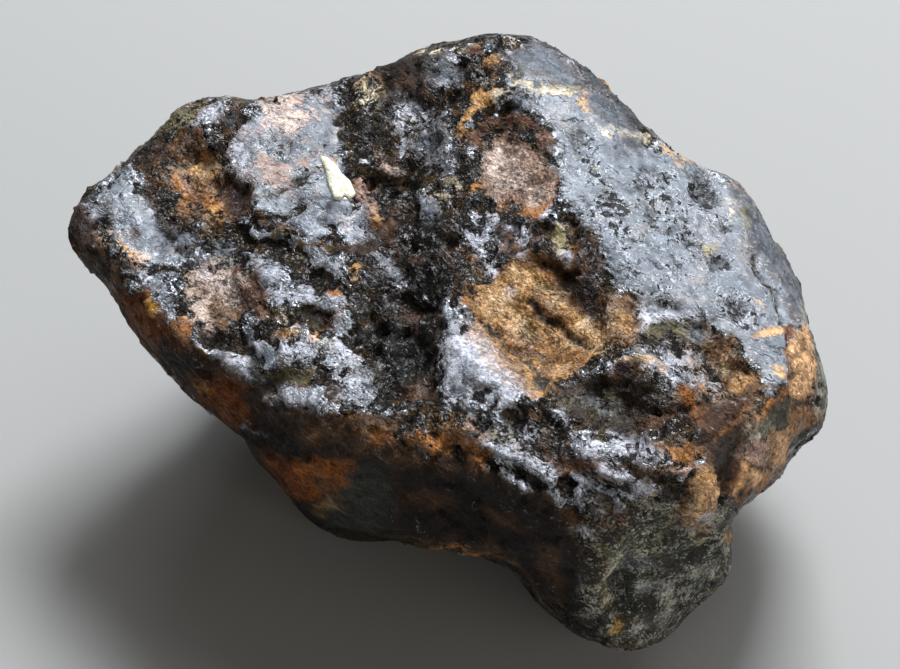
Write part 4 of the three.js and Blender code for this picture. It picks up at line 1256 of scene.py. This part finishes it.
def crust_finish():
    """Crust under stains, painted shadows and highlights, as stained, polished and painted with sheen,
    pitted, grainy, shaded in its hollows and broken as its attributes say.
    """
    finish, net, shader = new_finish("fusion_crust")
    place = stone_place(net)
    flowed = net.drawn_out(place, FLOW_STRETCH)
    tint = net.node("ShaderNodeAttribute", {"attribute_name": "tint"}, output="Color")
    stain, polish_and_sheen, pitted, grainy, hollow, broken = (
        net.node("ShaderNodeAttribute", {"attribute_name": name}, output="Fac")
        for name in ("stain", "polish_and_sheen", "pitted", "grainy", "hollow", "broken")
    )

    # Noises, from coarse to fine, and chips with a lot drawn for each.
    cracked = net.drawn_out(place, CRACK_STRETCH)
    streaked = net.drawn_out(place, STREAK_STRETCH)
    blotch = net.noise(place, size=5.0, seed=1.0, detail=3.0, rough=0.55)
    clump = net.noise(flowed, size=2.6, seed=15.0)
    mottle = net.noise(place, size=1.6, seed=9.0, detail=4.0, rough=0.62)
    grain = net.noise(flowed, size=1.1, seed=2.0, detail=4.0, rough=0.6)
    crumbs = net.noise(cracked, size=0.6, seed=4.0, detail=4.0, rough=0.65, twist=0.3)
    streaks = net.noise(streaked, size=0.6, seed=13.0, detail=3.0, rough=0.6, twist=0.3) - 0.5
    speck = net.noise(place, size=0.30, seed=3.0, detail=3.0, rough=0.6)
    dust = net.noise(place, size=0.24, seed=14.0, detail=2.0, rough=0.6)
    bent = net.shaken(place, size=0.8, amount=0.7, seed=8.0)
    chip, chip_lot = net.chips(bent, size=1.15)
    crumb, crumb_lot = net.chips(net.drawn_out(bent, CRUMB_STRETCH), size=0.42)
    lot = chip_lot * 0.7 + crumb_lot * 0.3 - 0.5

    # Stains and the painted shadows and highlights among them, ragged at their edges, darker where they are
    # worn and brighter in crumbs.
    ragged = (mottle - 0.5) * 0.9 + lot * 0.6 + (speck - 0.5) * 0.9 + streaks * 0.9
    covered = net.step(stain + ragged * (broken * 0.55 + 0.45) - hollow * 0.05, 0.36, 0.62)
    whole = net.step(crumbs * 0.5 + mottle * 0.5 + lot * 0.5 + (speck - 0.5) * 0.6, 0.38, 0.58)
    dark_tint = net.mix(0.76, tint, WORN_SHADE, "MULTIPLY")
    bright_tint = net.vector("MULTIPLY_ADD", tint, (1.3, 1.25, 1.2), (0.01, 0.01, 0.01))
    bright_crumbs = net.step(crumbs + (speck - 0.5) * 0.8, 0.58, 0.74) * 0.6
    stained = net.mix(whole * 0.75 + 0.25, dark_tint, tint)
    stained = net.mix(bright_crumbs, stained, bright_tint)

    # Crust: black and brown where it is broken, and where it is smooth a dull pale blue-grey that is partly
    # its colour and partly a painted sheen of the lamps.
    smoothness = net.step(polish_and_sheen, 0.50, 0.92)
    unrest = 1 - smoothness * 0.8
    clumped = net.step(clump + polish_and_sheen * 0.3, 0.44, 0.62)
    browned = net.step(blotch + (mottle - 0.5) * 1.2 + lot * 0.9, 0.50, 0.68)
    relief = (lot * 0.8 + (grain - 0.5) * 1.0 + streaks * 1.6) * unrest * (clumped * 0.7 + 0.4)
    # Painted shade: less of the pale sheen colour is painted in hollows.
    shine = net.step(polish_and_sheen * 0.9 + relief - hollow * 0.4, 0.34, 0.48)
    warmed = net.step(blotch + (crumbs - 0.5) * 0.8, 0.50, 0.75) * 0.6
    light_grey = net.mix(warmed, net.mix(smoothness, BLUE_GREY, SLATE_GREY), WARM_GREY)
    # Painted glints: some chips get the paler sheen grey.
    lit = net.step(crumbs + (speck - 0.5) * 0.5 + lot * 0.5, 0.42, 0.54)
    grey = net.mix(1 - (1 - lit) * (unrest * 0.8 + 0.2), DULL_GREY, light_grey)
    flecks = net.step(speck + (crumbs - 0.5) * 0.5, 0.62, 0.68) * unrest * (clumped * 0.4 + 0.1)
    crust = net.mix(shine, net.mix(browned, BLACK, BROWN), grey)
    crust = net.mix(flecks, crust, FLECK_GREY)

    # Small pits between pale crackled rims, thin wrinkles and cracks, which are painted near-black as the
    # shade in them.
    pit_noise = net.noise(place, size=0.6, seed=5.0, detail=4.0, rough=0.65, twist=0.5)
    pit_line = pit_noise + pitted * 0.20 + (mottle - 0.5) * 0.35
    pit = net.step(pit_line, 0.68, 0.74) * (1 - covered * 0.85)
    crackle = net.noise(place, size=0.6, seed=6.0, detail=3.0, rough=0.6, twist=0.5)
    rim = net.step(pit_line, 0.52, 0.62) * net.seam(crackle, 0.015, 0.075) * (1 - pit) * shine
    fold = net.noise(flowed, size=2.8, seed=12.0, detail=3.0, rough=0.55, twist=0.5)
    wrinkle = net.seam(fold, 0.004, 0.020) * net.step(mottle, 0.46, 0.56)
    split = net.noise(cracked, size=1.2, seed=21.0, detail=4.0, rough=0.62, twist=0.4)
    crack = net.seam(split, 0.012, 0.042) * net.step(grain, 0.42, 0.54) * unrest
    pock = net.math("MAXIMUM", pit * (shine * 0.6 + 0.4), wrinkle * 0.7)
    pock = net.math("MAXIMUM", pock, crack * (1 - covered * 0.4))

    # Colour: dust, rims, soil and pale grains over crust and stains, painted shade in pits, wrinkles and
    # cracks, and painted shade in every hollow.
    base = net.mix(covered, crust, stained)
    grit = 1 - smoothness * 0.6
    drift = dust + streaks * 0.4
    pale_dust = net.vector("MULTIPLY_ADD", base, (1.8, 1.8, 1.8), (0.02, 0.02, 0.02))
    base = net.mix(net.step(drift, 0.55, 0.63) * grit * 0.4, base, pale_dust)
    base = net.mix((1 - net.step(drift, 0.37, 0.45)) * grit * 0.5, base, net.scaled(base, 0.25))
    base = net.mix(rim * (0.9 - covered * 0.5), base, CHALK)
    gaps = 1 - net.step(mottle + (dust - 0.5) * 0.6, 0.40, 0.50)
    crystals = net.step(dust * 0.55 + speck * 0.45 + (mottle - 0.5) * 0.7, 0.51, 0.60)
    base = net.mix(gaps * grainy * 0.6, base, SOIL_AND_SHADE)
    pale_grain = net.mix(crumb_lot * 0.6, PALE_GRAIN, base)
    base = net.mix(crystals * grainy * (0.25 + grain * 0.8), base, pale_grain)
    # Painted shade: pits, wrinkles and cracks turn near-black.
    base = net.mix(pock * (0.95 - covered * 0.5), base, SOIL_AND_SHADE)
    # Painted shade: the deeper a place lies below the evened ground, the darker it is painted.
    base = net.mix(net.step(hollow, 0.15, 1.0) * (0.6 - covered * 0.4), base, SOIL_AND_SHADE)

    # Metal glints, and a gloss that is duller in stains and pits.
    glint = 1 - net.step(polish_and_sheen, 0.1, 0.4)
    metal = (1 - covered) * (shine * (0.46 - smoothness * 0.34 + glint * 0.3) * (1 - pock) + pock * 0.7)
    rough_crust = 0.17 + shine * (0.11 + smoothness * 0.22) + (speck - 0.5) * 0.16
    rough = rough_crust + covered * (tint.beside("Alpha") - rough_crust) + pock * 0.1

    # Relief, in millimetres.
    even = 1 - net.math("MAXIMUM", smoothness * 0.86, covered * 0.3)
    facets = chip * 0.8 + crumb * (0.9 - shine * 0.35) + (grain - 0.5) * 0.15 + streaks * 0.2
    height = facets * even + (crumbs - 0.5) * 0.14 * (1.2 - smoothness) + (speck - 0.5) * 0.04
    height = height - pock * 0.14 + rim * 0.05
    bump = net.node("ShaderNodeBump", None, {"Height": height, "Distance": MM, "Strength": 1.0})
    net.feed(shader, {"Base Color": base, "Metallic": metal, "Roughness": rough, "Normal": bump})
    net.feed(shader, {"Specular IOR Level": CRUST_SPECULAR})
    return finish


def flake_finish():
    finish, net, shader = new_finish("pale_flake")
    place = stone_place(net)
    cloud = net.noise(place, size=0.9, seed=11.0, detail=3.0, rough=0.6)
    dust = net.noise(place, size=0.25, seed=12.0, detail=2.0, rough=0.6)
    soiled = net.step(cloud + (dust - 0.5) * 0.5, 0.45, 0.72)
    base = net.mix(soiled, colour(236, 236, 216), colour(196, 190, 160))
    height = (cloud - 0.5) * 0.2 + (dust - 0.5) * 0.08
    bump = net.node("ShaderNodeBump", None, {"Height": height, "Distance": MM})
    net.feed(shader, {"Base Color": base, "Roughness": 0.55 + (cloud - 0.5) * 0.3, "Normal": bump})
    return finish


# ---- Build ------------------------------------------------------------------------------------------------
def make_stone():
    body, near = make_body()
    points, normals = points_of(body), normals_of(body)
    view, turned = strayed(points), facing(points, normals)
    show = smooth(*SHOW_EDGE, turned)
    depth = lay_all(DENTS, view, smooth(*DENT_EDGE, turned))
    move_points(body, points - normals * depth[:, None])
    calm_edge = CALM_SHARE + (1 - CALM_SHARE) * smooth(*CALM_EDGE, np.abs(turned))
    clear_of_floor = smooth(0.0, CALM_FLOOR, points[:, 2])
    store(body, "broken", lay_all(ROUGHNESS, view, show, 1.0) * calm_edge * clear_of_floor)
    lay_stains_and_painted_light(body, points, view, show)
    store_ground(body, "polish_and_sheen", POLISH_AND_SHEEN, OTHER_POLISH_AND_SHEEN, points, view, show)
    store_ground(body, "pitted", PITTED, OTHER_PITTED, points, view, show)
    store_ground(body, "grainy", GRAINY, OTHER_GRAINY, points, view, show)
    body = with_grain(body, crust_finish())
    points, normals = points_of(body), normals_of(body)
    level = near.eased(points, HOLLOW_ROUNDS)
    hollow = ((level - points) * normals).sum(axis=1) / HOLLOW_DEPTH
    store(body, "hollow", np.clip(near.eased(hollow, 1), -1, 1))
    body.name = "dressed_stone"
    for face in body.polygons:
        face.use_smooth = True
    return new_object("dressed_stone", body)


def make_flake(stone):
    """A thin chip that follows the ground under it, domed on top."""
    tree = BVHTree.FromPolygons(
        [v.co for v in stone.data.vertices], [f.vertices for f in stone.data.polygons]
    )
    eye = (MIDDLE + SIGHT_DISTANCE * TOWARDS) * MM
    ring = np.array(FLAKE, float)
    middle = ring.mean(axis=0)
    count = len(ring)

    def ground(corner, share):
        """The place on the stone under a point of the flake, share of the way from its middle to a corner."""
        x, y = middle + (corner - middle) * share
        right, up = (x - VIEW_WIDTH / 2) / MARKS_PER_MM, (VIEW_HEIGHT / 2 - y) / MARKS_PER_MM
        target = (MIDDLE + right * RIGHT + up * UP) * MM
        return np.array(tree.ray_cast(Vector(eye), Vector(target - eye).normalized())[0])

    bed = np.array([ground(corner, share) for corner in ring for share in (0.5, 1.0)])
    centre = bed.mean(axis=0)
    tilt = np.linalg.svd(bed - centre)[2][2]
    tilt *= math.copysign(1, tilt @ TOWARDS)
    top, under, faces = [], [], []
    for step in range(FLAKE_STEPS + 1):
        share = 1 - step / FLAKE_STEPS
        swell = FLAKE_RISE * (FLAKE_EDGE + (1 - FLAKE_EDGE) * (1 - share**3))
        for corner in ring:
            place = ground(corner, max(share, FLAKE_TIP))
            place = place - tilt * ((place - centre) @ tilt) * (1 - FLAKE_CLING)
            top.append(place + tilt * swell * MM)
            under.append(place - tilt * FLAKE_SINK * MM)
    total = len(top)
    for step in range(FLAKE_STEPS):
        for i in range(count):
            a, b = step * count + i, step * count + (i + 1) % count
            faces.append((a, b, b + count, a + count))
            faces.append((total + a, total + a + count, total + b + count, total + b))
    for i in range(count):
        faces.append((i, total + i, total + (i + 1) % count, (i + 1) % count))
    last = FLAKE_STEPS * count
    faces.append(tuple(last + i for i in range(count)))
    faces.append(tuple(total + last + i for i in reversed(range(count))))
    mesh = bpy.data.meshes.new("pale_flake")
    mesh.from_pydata(top + under, [], faces)
    rework(mesh, lambda work: bmesh.ops.recalc_face_normals(work, faces=work.faces))
    for face in mesh.polygons:
        face.use_smooth = len(face.vertices) == 4
    mesh.materials.append(flake_finish())
    return new_object("pale_flake", mesh)


make_camera()
for lamp in LAMPS:
    make_lamp(*lamp)
make_sky()
make_floor()
stone = make_stone()
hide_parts("stone")
flake = make_flake(stone)
for piece in (stone, flake):
    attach(piece, "root")
